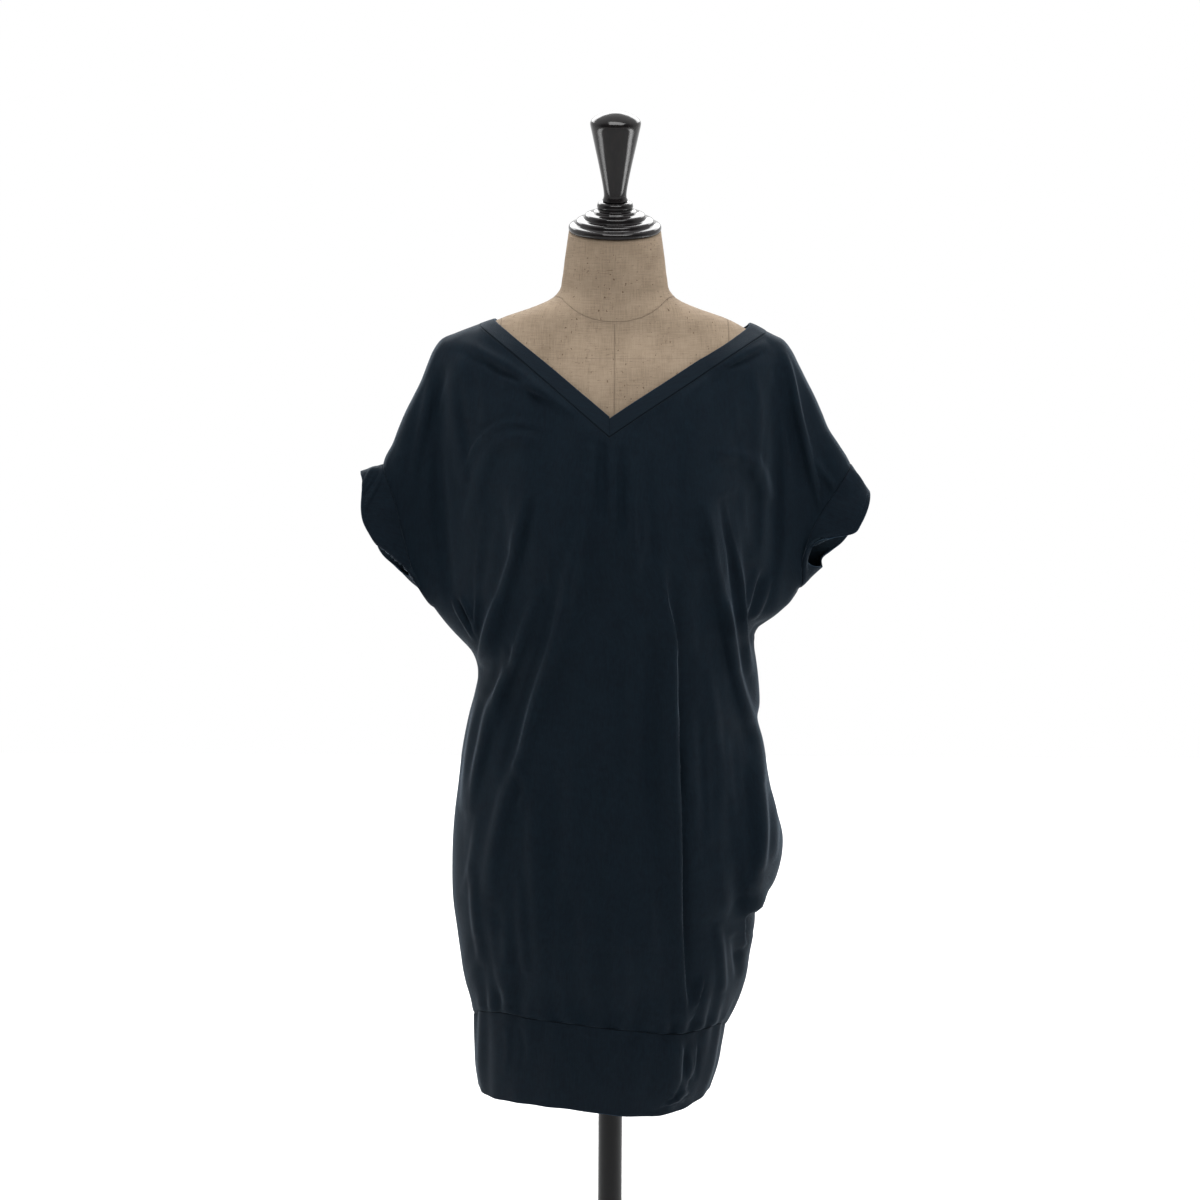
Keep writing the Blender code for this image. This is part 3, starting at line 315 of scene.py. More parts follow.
def run_along(points, axis=0):
    """Lengths from the start of lines of points that follow the axis."""
    steps = np.linalg.norm(np.diff(points, axis=axis), axis=-1)
    return np.concatenate((np.zeros_like(steps.take([0], axis)), np.cumsum(steps, axis)), axis)


def along(points, shares, curve=smooth_value):
    """Points at shares (0 to 1) of the length of a curve through the given points."""
    points = np.array(points, dtype=float)
    knots = run_along(points)
    where = shares * knots[-1]
    return np.stack([curve(knots, values, where) for values in points.T], axis=-1)


def distance_to_line(x, z, points):
    """Distance from (x, z) to a line of points, the nearest place's share of the line, and its side."""
    points = np.array(points, dtype=float)
    lengths = np.linalg.norm(np.diff(points, axis=0), axis=1)
    starts = run_along(points)
    best, place, side = np.full(np.shape(x), np.inf), np.zeros(np.shape(x)), np.zeros(np.shape(x))
    for first, last, length, start in zip(points[:-1], points[1:], lengths, starts):
        way = (last - first) / length
        run = np.clip((x - first[0]) * way[0] + (z - first[1]) * way[1], 0.0, length)
        off_x = x - first[0] - way[0] * run
        off_z = z - first[1] - way[1] * run
        distance = np.hypot(off_x, off_z)
        nearer = distance < best
        best = np.where(nearer, distance, best)
        place = np.where(nearer, (start + run) / starts[-1], place)
        side = np.where(nearer, np.sign(way[0] * off_z - way[1] * off_x), side)
    return best, place, side


def smooth_step(low, high, value):
    t = np.clip((value - low) / (high - low), 0.0, 1.0)
    return t * t * (3 - 2 * t)


def round_edge(distance, radius):
    """0 at an edge, rising as a quarter circle to 1 at the radius."""
    t = 1.0 - np.clip(distance / radius, 0.0, 1.0)
    return np.sqrt(1.0 - t * t)


def round_bump(distance, half_width):
    return np.cos(0.5 * math.pi * np.clip(distance / half_width, 0.0, 1.0))**2


def soft_max(first, second):
    """The greater of two depths, with a soft join that vanishes where both do."""
    width = np.minimum(BLEND_WIDTH, 0.5 * (first + second))
    return 0.5 * (first + second + np.sqrt((first - second)**2 + width**2))


# ================================================================ depth of the cloth
def oval(x, half_width, depth, squareness):
    """Depth of a superellipse section at x."""
    inside = np.clip(1.0 - np.abs(x / half_width)**squareness, 0.0, 1.0)
    return depth * inside**(1.0 / squareness)


def outline(side, sleeve_end, z):
    return table_value(side[::-1] + sleeve_end[::-1][1:], 1, z)


def ease_at(z):
    """Ease of the cloth over the form at a height."""
    return CHEST_EASE + (SHOULDER_EASE - CHEST_EASE) * smooth_step(EASE_FOOT, EASE_HEAD, z)


def form_depth(x, z, face):
    """Depth of the form's skin at (x, z), moved out by the ease. face is 0 in front and 1 at the back."""
    ease = ease_at(z)
    low = z - ease
    half_width = table_value(TORSO_SECTIONS, 1, low) + ease
    depth = table_value(TORSO_SECTIONS, 2 + face, low) + ease
    skin = oval(x, half_width, depth, table_value(TORSO_SECTIONS, 4, low))
    return np.where(z > TORSO_SECTIONS[0][0] - ease, skin, 0.0)


def fold_relief(x, z, folds):
    """How far the folds stand proud of the smooth cloth at (x, z)."""
    total = np.zeros(np.shape(x))
    for shape, half_width, height, points in folds:
        distance, place, side = distance_to_line(x, z, along(points, np.linspace(0.0, 1.0, 24)))
        taper = np.sin(math.pi * np.clip(place, 0.0, 1.0))**0.5
        bump = round_bump(distance, half_width)
        if shape == "step":
            taper = np.where(place < 0.5, smooth_step(0.0, 0.30, place), taper)
            bump = np.where(side < 0, bump, round_bump(distance, 0.2 * half_width))
        total += height * taper * bump
    return total


def cloth_depth(x, z, face):
    """Depth of the cloth at (x, z), from the plane of the side seams. face is 0 in front, 1 at the back."""
    front_to_back, squareness, drape_width = (table_value(BODY_DEPTH, place, z) for place in (1 + face, 3, 4))
    from_arm = np.minimum(*(distance_to_line(x, z, arm)[0] for arm in (ARM_RIGHT, ARM_LEFT)))
    from_under = np.minimum(*(distance_to_line(x, z, [row[::-1] for row in end[CUFF_SEAM_ROWS - 1:]])[0]
                              for end in (SLEEVE_END_RIGHT, SLEEVE_END_LEFT)))

    right = outline(SIDE_RIGHT, SLEEVE_END_RIGHT, np.minimum(z, DRAPE_HEAD))
    left = outline(SIDE_LEFT, SLEEVE_END_LEFT, np.minimum(z, DRAPE_HEAD))
    closed = oval(x - 0.5 * (left + right), 0.5 * (left - right), front_to_back, squareness)
    shoulder = smooth_step(SHOULDER_FOOT, SHOULDER_HEAD, z)
    arm_radius = SLEEVE_ROUNDING + (SHOULDER_ROUNDING - SLEEVE_ROUNDING) * shoulder
    open_drape = front_to_back * np.exp(-np.abs(x / drape_width)**DRAPE_POWER)
    open_drape = open_drape * round_edge(from_arm, arm_radius) * round_edge(from_under, UNDERARM_ROUNDING)
    part = smooth_step(DRAPE_FOOT, DRAPE_HEAD, z)
    body = (1.0 - part) * closed + part * open_drape

    sleeve = SLEEVE_DEPTH * round_edge(from_arm, SLEEVE_ROUNDING) * round_edge(from_under, UNDERARM_ROUNDING)
    sleeve = sleeve * smooth_step(DRAPE_FOOT, SLEEVE_FOOT, z)
    skin = form_depth(x, z, face)
    depth = soft_max(soft_max(body, sleeve), skin)
    folds = BACK_FOLDS if face else FRONT_FOLDS
    depth = depth + fold_relief(x, z, folds) * np.clip(depth / FOLD_DEPTH, 0.0, 1.0)
    return np.maximum(depth, skin) * round_edge(from_arm, SEAM_ROUNDING)


# ================================================================ finer grids of points
ARM_COLUMNS = 50           # cuff to neck along the shoulder seam
NECK_COLUMNS = 52          # shoulder to middle of the neckline
YOKE_ROWS = 66             # shoulder seam down to the foot of the cuff seams
UNDERARM_ROWS = 22         # foot of the cuff seams down to the underarm points
SKIRT_ROWS = 120           # underarm points down to the band
CROWDING = 1.25            # power that crowds points to the cuffs, the shoulders and the shoulder seam
EDGE_PULL = 6              # how close to the panel's edge its points follow the sleeve's end
JERSEY_WALL = 0.0014       # one layer of jersey
BAND_WALL = 0.0022         # folded double

# Creases too fine for the solids.
FRONT_CREASES = creases(
    ("step", 36, -3.4, 158, 980, 157.3, 1005.3, 154.3, 1053.7, 150.4, 1091.6, 142, 1129.2, 130.2, 1173.5,
     125, 1195), (13, 2, 34, 1100, 26, 1000, 27, 877, 36, 800, 45, 720, 52, 620),
    (12, 1.6, -92, 860, -86, 780, -80, 690, -76, 600), (10, 1.4, -30, 760, -26, 680, -22, 600),
    (10, -1.4, -52, 760, -50, 680, -48, 600), (11, 1.6, -128, 700, -124, 650, -118, 600),
    (10, 1.5, 6, 740, 10, 660, 12, 600), (6, -2.2, -13, 1255, -14, 1215, -13, 1169),
    (5, 1.8, -3, 1256, -2, 1210, -2, 1157), (5.5, -2, 7, 1250, 8, 1205, 8, 1150),
    (5.5, 1.7, 20, 1240, 21, 1190, 22, 1150, 29, 1080), (6, -1.2, 36, 1235, 38, 1185, 44, 1120),
    (6, -1.4, -30, 1246, -37, 1190, -46, 1130), (6, 1.6, -136, 1188, -144, 1149, -151, 1087, -152, 1030),
    (6, 2, -97, 1197, -105, 1154, -121, 1092, -137, 1044, -147, 994),
    (5, -1.6, -89, 1193, -95, 1163, -104, 1120), (9, 1.4, -113, 1206, -113, 1129),
    (6, 2.2, -126, 1073, -134, 1043, -150, 990),
    (6, 2, -78, 1094, -93, 1060, -107, 1017, -123, 974, -138, 939, -146, 903, -157, 859, -166, 818),
    (8, 1.4, -29, 1232, -34, 1188, -39, 1141, -55, 1079, -67, 1026, -79, 990, -91, 949, -102, 900,
     -123, 839, -134, 789, -141, 734), (8, -1.6, -56, 1100, -72, 1040, -90, 980, -108, 920, -124, 860),
    (7, 1.4, -108, 893, -98, 857, -108, 835), (6, 2, -150, 946, -162, 897, -173, 815),
    (9, 1.2, -44, 930, -42, 830, -44, 735), (9, -1, -60, 900, -62, 800, -66, 700),
    (9, 1.2, 26, 1062, 26, 960, 27, 877), (10, -1, 6, 1000, 6, 880, 2, 760),
    ("step", 14, 1.4, 58, 1157, 59, 1079, 66, 1062, 68, 992, 71, 903, 74, 830, 76, 787, 77, 735, 80, 669,
     82, 604, 86, 572), (7, -1.2, 64, 1120, 69, 1060, 73, 990, 76, 903, 80, 820, 82, 735, 86, 669, 89, 610),
    ("step", 10, 2.2, 106, 640, 98, 600, 93, 578),
    (6, 1.8, 100, 1186, 106, 1147, 117, 1094, 130, 1034, 139, 991),
    (5.5, -1.8, 116, 1192, 128, 1133, 137, 1072, 144, 1031), (5.5, 1.6, 136, 1175, 145, 1111, 154, 1050),
    (6, 2.2, 124, 1074, 132, 1028, 143, 973, 155, 933, 166, 896, 172, 856),
    (5.5, 1.8, 147, 1070, 152, 1020, 154, 979), (7, 1.4, 108, 1000, 116, 930, 122, 860, 124, 790),
    (6, -1.4, 96, 960, 101, 880, 104, 800),
    (6, 2.6, -76, 1267, -97, 1272, -121, 1270, -143, 1253, -159, 1228, -168, 1200),
    (8, 1.2, 108, 1238, 135, 1236, 155, 1227, 168, 1201, 176, 1178),
    (4.2, 3, 188, 1350, 196, 1322, 207, 1275, 219, 1228, 228, 1195, 236, 1165, 240, 1150),
    (4.5, 2.8, 228, 1225, 237, 1209, 244, 1200, 250, 1190, 252, 1170),
    (6, -1.2, 176, 1336, 190, 1290, 200, 1240, 208, 1190),
    (6, 1.3, 152, 1332, 158, 1290, 158, 1240, 154, 1190),
    (6, 1.4, -205, 1318, -214, 1270, -224, 1220, -230, 1180), (6, -1.3, -188, 1330, -204, 1270, -214, 1210),
    (6, 1.2, -168, 1345, -164, 1300, -160, 1260), (4.5, 1.3, -173, 1355, -133, 1341, -102, 1325, -74, 1305),
    (4.5, -1.2, -176, 1346, -136, 1331, -104, 1315, -78, 1297),
    (4.5, 1.2, -124, 1318, -82, 1308, -44, 1283), (4.5, 1.3, 170, 1357, 143, 1347, 108, 1330),
    (4.5, -1.1, 172, 1347, 142, 1337, 106, 1320), (4.5, 1.1, 146, 1331, 108, 1323, 82, 1309),
    (3.5, 1.8, -181, 1063, -168, 1043, -157, 1024), (3.5, -1.5, -177, 1066, -164, 1046, -156, 1030),
    (3.5, 1.6, -172, 1068, -162, 1048, -156, 1030), (4, 1.6, -150, 1069, -153, 1050, -155, 1027),
    (4.5, 1.8, 178, 1092, 171, 1066, 163, 1042), (4.5, -1.6, 172, 1098, 164, 1068, 157, 1046),
    (4.5, 1.4, 166, 1104, 158, 1074, 152, 1050), (6, 1.8, 160, 885, 166, 859, 169, 837, 172, 805, 170, 757),
    (6, -1.6, 150, 880, 156, 840, 160, 790, 156, 745), (6, 1.4, 184, 838, 187, 800, 186, 762),
    ("step", 20, 4, 185, 724.5, 174, 717.2, 162.9, 711.1, 152, 705, 149.7, 690, 151, 672, 157, 656),
    (6, -2, 138, 680, 146, 655, 150, 620), (6, 1.8, 118, 700, 124, 660, 128, 610),
    (6, 1.4, -160, 760, -156, 700, -148, 640), (7, -1.4, -130, 720, -126, 660, -120, 620),
    (7, 1.3, -105, 760, -102, 700, -98, 640),
)
BACK_CREASES = creases(
    (6.5, 2, -70, 1230, -76, 1150, -86, 1040, -96, 920, -104, 760),
    (6.5, -1.8, -56, 1200, -62, 1080, -70, 940), (7, 1.6, -36, 1060, -40, 920, -46, 770),
    (7, 1.8, -6, 1180, -10, 1060, -16, 930, -22, 800), (6.5, -1.6, 10, 1150, 12, 1020, 10, 880),
    ("step", 13, 2, 46, 1140, 50, 1020, 52, 900, 50, 780), (6.5, 1.8, 78, 1220, 84, 1100, 90, 960, 90, 820),
    (6, -1.8, 104, 1180, 110, 1060, 114, 920), (6, 1.8, 132, 1100, 142, 980, 150, 880, 152, 790),
    (5.5, -1.6, 146, 1120, 154, 1020, 160, 940), (6, 1.8, -128, 1160, -138, 1040, -150, 920, -160, 830),
    (5.5, -1.6, -112, 1150, -120, 1020, -130, 900),
    (5.5, 1.4, -164, 1345, -120, 1318, -70, 1302, -20, 1296),
    (5.5, -1.2, -160, 1322, -112, 1296, -60, 1282), (5.5, 1.4, 170, 1345, 128, 1318, 82, 1300, 36, 1294),
    (5.5, -1.2, 168, 1322, 122, 1294, 74, 1281), (5, 1.6, -200, 1330, -212, 1280, -222, 1225, -228, 1180),
    (5, -1.4, -186, 1320, -200, 1250, -206, 1180), (5, 1.6, 196, 1335, 210, 1280, 222, 1222, 230, 1180),
    (5, -1.4, 184, 1320, 198, 1250, 204, 1180), (4, 1.8, -184, 1078, -170, 1052, -157, 1020),
    (4, -1.6, -176, 1084, -163, 1056, -152, 1024), (4, 1.8, 190, 1092, 178, 1070, 164, 1040),
    (4, -1.6, 182, 1098, 170, 1074, 157, 1044), ("step", 20, 4.6, 184, 725, 172, 716, 156, 708, 138, 700),
    (6, 1.6, 166, 880, 174, 830, 176, 780), (7, 1.4, -150, 760, -144, 690, -134, 630),
    (7, -1.4, -80, 740, -76, 680, -72, 620), (7, 1.4, 66, 720, 62, 660, 60, 610),
)
# Gathers where each panel is sewn to the hem band.
FRONT_GATHERS = mm((
    # share round the panel from right to left, half width, height, length, lean of x per height
    (0.055, 5, 1.6, 70, -0.1), (0.085, 4.5, -1.4, 36, -0.08), (0.118, 5.5, 2.4, 70, -0.1),
    (0.15, 4.5, -1.8, 45, -0.06), (0.18, 5, 2, 52, -0.04), (0.212, 4, -1.4, 34, 0.02),
    (0.245, 6, 2.6, 85, -0.05), (0.282, 4.5, -1.6, 40, 0), (0.318, 5, 1.8, 46, 0.03),
    (0.35, 4, 1.3, 30, -0.02), (0.384, 5, -1.8, 50, 0), (0.42, 5.5, 2, 60, 0.02),
    (0.452, 4, -1.2, 28, 0.02), (0.486, 5, 1.5, 40, 0), (0.52, 4.5, -1.4, 34, -0.02),
    (0.552, 5.5, 1.8, 58, 0.02), (0.59, 4.5, -1.4, 36, 0), (0.622, 4.5, 1.4, 34, 0.03),
    (0.664, 6, 2.4, 74, 0.02), (0.69, 4.5, -2.4, 60, 0.02), (0.722, 5, 2, 48, 0.06),
    (0.752, 4.5, -2, 50, 0.1), (0.786, 5.5, 2.6, 80, 0.12), (0.82, 4.5, -2, 56, 0.12),
    (0.856, 5, 2.2, 60, 0.12), (0.892, 4.5, -1.6, 40, 0.1), (0.93, 5, 1.6, 48, 0.08),
), 0, 4)
BACK_GATHERS = mm((
    # share round the panel from right to left, half width, height, length, lean of x per height
    (0.062, 5, 1.8, 46, -0.1), (0.1, 5, -1.6, 40, -0.08), (0.134, 5.5, 2.2, 66, -0.08),
    (0.168, 4.5, -1.8, 44, -0.04), (0.206, 5.5, 2.2, 56, -0.04), (0.24, 4.5, -1.4, 34, 0),
    (0.276, 5.5, 2.4, 76, -0.02), (0.312, 4.5, -1.6, 38, 0), (0.352, 5, 2, 50, 0.03),
    (0.388, 4.5, -1.6, 44, 0), (0.42, 4.5, 1.6, 36, 0.02), (0.456, 5, -1.8, 52, 0),
    (0.494, 5.5, 2.2, 64, 0), (0.53, 4.5, -1.4, 32, -0.02), (0.566, 5, 1.8, 46, 0.02),
    (0.604, 4.5, -1.6, 40, 0.02), (0.64, 5.5, 2.4, 78, 0.02), (0.676, 4.5, -1.8, 46, 0.04),
    (0.712, 5, 2, 54, 0.06), (0.748, 4.5, -1.6, 36, 0.06), (0.786, 5.5, 2.4, 70, 0.08),
    (0.824, 4.5, -1.8, 48, 0.1), (0.862, 5, 2, 56, 0.1), (0.898, 4.5, -1.4, 36, 0.1),
    (0.936, 5, 1.6, 44, 0.08),
), 0, 4)
CREASE_SCALE = 2.3         # all fine creases together
CREASE_WIDTH = 1.45        # and how much wider the soft ones are
GATHER_SCALE = 1.35        # all gathers together, and how much longer they are
GATHER_LENGTH = 1.6
RUMPLE_SEED = 11
RUMPLE_WAVES = 24
RUMPLE_SLOPE = 0.030
RUMPLE_ACROSS = (60.0, 230.0)    # waves' turns per metre across, and most down, in radians
RUMPLE_DOWN = 22.0
FAR = 1.0                  # distance given where there is no seam or edge
# Steps whose edge hangs over.
PLEAT_LINE = FRONT_FOLDS[0][3]
POUCH_LINES = (FRONT_CREASES[-6][3], BACK_CREASES[-5][3])
FRONT_LIPS = (
    # line, reach, width on the proud side, foot of the drop, how far the foot is drawn in
    (PLEAT_LINE, 0.0015, 0.0080, 0.0068, 0.0038), (POUCH_LINES[0], 0.0012, 0.0090, 0.0060, 0.0024),
)
BACK_LIPS = ((POUCH_LINES[1], 0.0012, 0.0090, 0.0060, 0.0024),)
PLEAT_SNAP = 0.045         # width over which columns are drawn to the long pleat
TUCK = 0.0046              # how far the panels' raw edge goes down inside the hem band
TUCK_DEPTH = 0.0024        # and how far in
EDGE_FADE = 0.030          # fine relief fades out within this share of a panel's side edges
FAINT_SEED = 11            # short shallow creases: their seed, number, and the field they lie in
FAINT_COUNT = 70
FAINT_LOW = 0.62
FAINT_HIGH = 1.30
FAINT_HALF_WIDTH = 0.17
RELIEF_LIMITS = (-0.008, 0.013)     # of all the fine relief together
NECK_SEAMS = ((V_SEAM_RIGHT, V_SEAM_LEFT), (BACK_SEAM_RIGHT, BACK_SEAM_LEFT))
CUFF_FOOT_RIGHT = SLEEVE_END_RIGHT[CUFF_SEAM_ROWS - 1][0]
CUFF_FOOT_LEFT = SLEEVE_END_LEFT[CUFF_SEAM_ROWS - 1][0]
CUFF_GAP = 0.0004          # from the sleeve to its cuff
BAND_EDGE = 0.012          # share of a strip's width over which its edges are rolled over
CUFF_EDGE = 0.03
NECKBAND_EDGE = 0.07
SHOULDER_STAND_X = V_SEAM_LEFT[0][0] - 0.012   # where the neckband stands off most, and how far round
SHOULDER_STAND_REACH = 0.020
FOOT_ROUNDING = 0.006      # radius of the form's lower edge, and how far the edge is trimmed
FOOT_TRIM = 0.004
CORNER_CUT = 0.38          # share of each side of a turned piece's corner that is curved
RIB = 0.0010               # width of a knit stitch
WEAVE_PITCH = 0.0010       # of two threads of the linen
SHOULDER_SEAM_FOOT = 1.34  # the form's shoulder seam shows above this height


def faint_creases(face):
    """Short shallow creases, scattered from a fixed seed."""
    source = np.random.default_rng(FAINT_SEED + face)
    found = []
    for _ in range(FAINT_COUNT):
        x = source.uniform(-FAINT_HALF_WIDTH, FAINT_HALF_WIDTH)
        z = source.uniform(FAINT_LOW, FAINT_HIGH)
        length = source.uniform(0.03, 0.11)
        lean = source.normal(x * 0.9, 0.10)
        bend = source.normal(0.0, 0.05)
        height = source.uniform(0.0003, 0.0008) * source.choice((-1.0, 1.0))
        line = ((x - lean * length * 0.5, z + 0.5 * length), (x + bend * length, z),
                (x + lean * length * 0.5, z - 0.5 * length))
        found.append(("round", source.uniform(0.004, 0.008), height, line))
    return tuple(found)


def gather_relief(x, rise, foot, panel_gathers):
    """Relief of the gathers. foot is the row of points where the panel is sewn to the band."""
    total = np.zeros(np.shape(x))
    for place, half_width, height, length, lean in panel_gathers:
        length = length * GATHER_LENGTH
        at = np.interp(place, np.linspace(0.0, 1.0, len(foot)), foot)
        wide = half_width * (1.0 + 0.9 * np.clip(rise / length, 0.0, 2.0))
        off = (x - at - lean * rise) / wide
        climb = np.clip(rise / length, 0.0, 1.0)
        reach = smooth_step(-0.0012, 0.0060, rise) * np.cos(0.5 * math.pi * climb)**1.5
        total += GATHER_SCALE * height * reach * np.exp(-off**2)
    return total


def panel_plan(face):
    """(x, height) of a panel's points, in rows from the shoulder down, and each column's share round it."""
    arm_shares = np.linspace(0.0, 1.0, ARM_COLUMNS + 1)**CROWDING
    neck_shares = np.linspace(0.0, 1.0, NECK_COLUMNS + 1)**CROWDING
    neck_right, neck_left = NECK_SEAMS[face]
    top = np.concatenate((along(ARM_RIGHT, arm_shares)[:-1], along(neck_right, neck_shares),
                          along(neck_left, neck_shares)[::-1][1:], along(ARM_LEFT, arm_shares)[::-1][1:]))
    turn = np.linspace(0.0, math.pi, len(top))
    spread = 0.5 - 0.5 * np.cos(turn)

    under_right, under_left = SLEEVE_END_RIGHT[-1], SLEEVE_END_LEFT[-1]
    waist_x = under_right[1] + (under_left[1] - under_right[1]) * spread
    waist_z = under_right[0] + (under_left[0] - under_right[0]) * spread
    cuff_share = (top[0, 1] - CUFF_FOOT_RIGHT) / (top[0, 1] - under_right[0])
    steps = np.concatenate((cuff_share * np.linspace(0.0, 1.0, YOKE_ROWS + 1)**CROWDING,
                            np.linspace(cuff_share, 1.0, UNDERARM_ROWS + 1)[1:]))
    rows = []
    for t in steps:
        x = top[:, 0] * (1 - t) + waist_x * t
        z = top[:, 1] * (1 - t) + waist_z * t
        x = x + (table_value(SLEEVE_END_RIGHT, 1, z[0]) - x[0]) * (1 - spread)**EDGE_PULL
        x = x + (table_value(SLEEVE_END_LEFT, 1, z[-1]) - x[-1]) * spread**EDGE_PULL
        rows.append(np.stack((x, z), axis=-1))
    foot_x = BAND_TOP_MIDDLE - BAND_TOP_HALF_WIDTH * np.cos(turn)
    foot_z = table_value(BAND_TOP, 1 + face, foot_x)
    for t in np.linspace(0.0, 1.0, SKIRT_ROWS + 1)[1:]:
        z = waist_z * (1 - t) + foot_z * t
        right = table_value(SIDE_RIGHT, 1, z)
        rows.append(np.stack((right + (table_value(SIDE_LEFT, 1, z) - right) * spread, z), axis=-1))
    rows = np.array(rows)
    near_band = np.exp(-((rows[..., 1] - foot_z) / BAND_HOLD)**2)
    rows[..., 0] += (foot_x - rows[-1, :, 0]) * near_band
    if not face:
        rows[..., 0] += pleat_snap(rows)
    return rows, turn / math.pi


def pleat_snap(rows):
    """Shift across that lays one column of the front along the edge of its long pleat."""
    line = along(PLEAT_LINE, np.linspace(0.0, 1.0, 48))
    edge = np.interp(rows[..., 1], line[::-1, 1], line[::-1, 0])
    fade = smooth_step(0.575, 0.610, rows[..., 1]) * (1.0 - smooth_step(1.120, 1.170, rows[..., 1]))
    off = rows[..., 0] - edge
    column = np.argmin(np.sum(np.abs(off) * fade, axis=0))
    from_column = rows[..., 0] - rows[:, column:column + 1, 0]
    return -off[:, column:column + 1] * fade * np.exp(-(from_column / PLEAT_SNAP)**2)


def normals_of(rows, outward):
    """Unit normals of a grid of points, turned to the side of outward."""
    normal = np.cross(np.gradient(rows, axis=0), np.gradient(rows, axis=1))
    normal = normal / np.maximum(np.linalg.norm(normal, axis=-1, keepdims=True), 1e-12)
    flip = np.sign(np.sum(normal * outward, axis=-1, keepdims=True))
    return normal * np.where(flip == 0, 1.0, flip)


def ring_normals(rings, outward=None):
    """Unit normals of rings that close, away from each ring's middle or to the side of outward."""
    closed, outward = (None if part is None else np.concatenate((part[:, -1:], part, part[:, :1]), axis=1)
                       for part in (rings, outward))
    outward = closed - closed.mean(axis=1, keepdims=True) if outward is None else outward
    return normals_of(closed, outward)[:, 1:-1]


def panel_points(face):
    """Middle of the front or back wall, with its folds, creases and gathers, and its sewn values."""
    plan, turn_share = panel_plan(face)
    x, z = plan[..., 0], plan[..., 1]
    depth = cloth_depth(x, z, face)
    depth[0, :ARM_COLUMNS + 1] = 0.0
    depth[0, -ARM_COLUMNS - 1:] = 0.0
    depth[z[:, 0] < CUFF_FOOT_RIGHT, 0] = 0.0
    depth[z[:, -1] < CUFF_FOOT_LEFT, -1] = 0.0
    rise = np.maximum(z - z[-1], 0.0)
    ring = BAND_RINGS[0]
    hold = np.exp(-(rise / BAND_HOLD)**2)
    depth = depth * (1 - hold) + oval(x[-1] - ring[1], ring[2], ring[3 + face], BAND_SQUARENESS) * hold
    sign = 1.0 if face else -1.0
    base = np.stack((x, depth * sign, z), axis=-1)

    outward = np.stack((x * 0.3, np.full(x.shape, sign * 0.2) + sign * depth, np.zeros(x.shape)), axis=-1)
    normal = normals_of(base, outward)
    fine = (BACK_CREASES if face else FRONT_CREASES) + faint_creases(face)
    relief = CREASE_SCALE * fold_relief(x, z, widened(fine)) + rumple(x, z, face)
    relief = relief * smooth_step(0.004, 0.030, depth) * smooth_step(0.0, 0.018, rise)
    relief += gather_relief(x, rise, x[-1], BACK_GATHERS if face else FRONT_GATHERS)
    from_top = top_distance(x, z, face)
    from_side = np.minimum(turn_share, 1.0 - turn_share)
    relief = relief * smooth_step(0.0, EDGE_FADE, from_side)[None, :] * smooth_step(0.0, 0.010, from_top)
    rows = base + normal * np.clip(relief, *RELIEF_LIMITS)[..., None]
    rows[..., 1] = sign * np.maximum(rows[..., 1] * sign, form_depth(rows[..., 0], rows[..., 2], face))
    rows[..., 1] = rows[..., 1] * np.where(depth > 0.0, 1.0, 0.0)
    for lip in (BACK_LIPS if face else FRONT_LIPS):
        shift_x, shift_z = lip_shift(x, z, *lip)
        rows[..., 0] += shift_x
        rows[..., 2] += shift_z

    tuck = []
    for share in (0.35, 0.7, 1.0):
        inward = normal[-1] * np.array((1.0, 1.0, 0.0))
        line = rows[-1] - inward * TUCK_DEPTH * math.sin(0.5 * math.pi * share)
        line[:, 2] -= TUCK * share
        tuck.append(line)
    from_seam = np.concatenate((np.minimum(from_top, rise), np.zeros((len(tuck), x.shape[1]))))
    return np.concatenate((rows, np.array(tuck))), sewn_values(from_seam, FAR, FAR)


def sewn_values(seam, edge, stitching):
    """Distances from seams, free edges and hem stitching, stacked for each point."""
    return np.stack(np.broadcast_arrays(seam, edge, stitching), axis=-1)


def widened(folds):
    """The folds with the round ones broadened."""
    return [(shape, half_width * (CREASE_WIDTH if shape == "round" else 1.0), height, points)
            for shape, half_width, height, points in folds]


def rumple(x, z, face):
    """The cloth's slight unevenness between its creases."""
    chance = np.random.default_rng(RUMPLE_SEED + face)
    total = np.zeros(np.shape(x))
    for _ in range(RUMPLE_WAVES):
        across, down = chance.uniform(*RUMPLE_ACROSS), chance.uniform(-RUMPLE_DOWN, RUMPLE_DOWN)
        bend, turn, start = chance.uniform(0.4, 1.6), chance.uniform(5.0, 14.0), chance.uniform(0.0, 6.3, 2)
        total += np.cos(across * x + down * z + bend * np.sin(turn * z + start[0]) + start[1]) / across
    return RUMPLE_SLOPE * total


def lip_shift(x, z, line, reach, width, foot, pull):
    """Shift of points across a step, so that its edge hangs over and its drop is steep."""
    points = along(line, np.linspace(0.0, 1.0, 48))

    def signed(at_x, at_z):
        distance, place, side = distance_to_line(at_x, at_z, points)
        return distance * np.where(side < 0, -1.0, 1.0), place

    off, place = signed(x, z)
    slope_x = signed(x + SMALL_MOVE, z)[0] - signed(x - SMALL_MOVE, z)[0]
    slope_z = signed(x, z + SMALL_MOVE)[0] - signed(x, z - SMALL_MOVE)[0]
    length = np.maximum(np.hypot(slope_x, slope_z), 1e-9)
    low = np.abs(off) / foot
    low = reach * (1 - np.minimum(low, 1.0)) - pull * low * np.exp(1.0 - low)
    fade = smooth_step(0.0, 0.30, place) * np.minimum(2.0 * np.sin(math.pi * place)**0.5, 1.0)
    shift = np.where(off < 0, reach * np.exp(-(off / width)**2), low) * fade
    return shift * slope_x / length, shift * slope_z / length


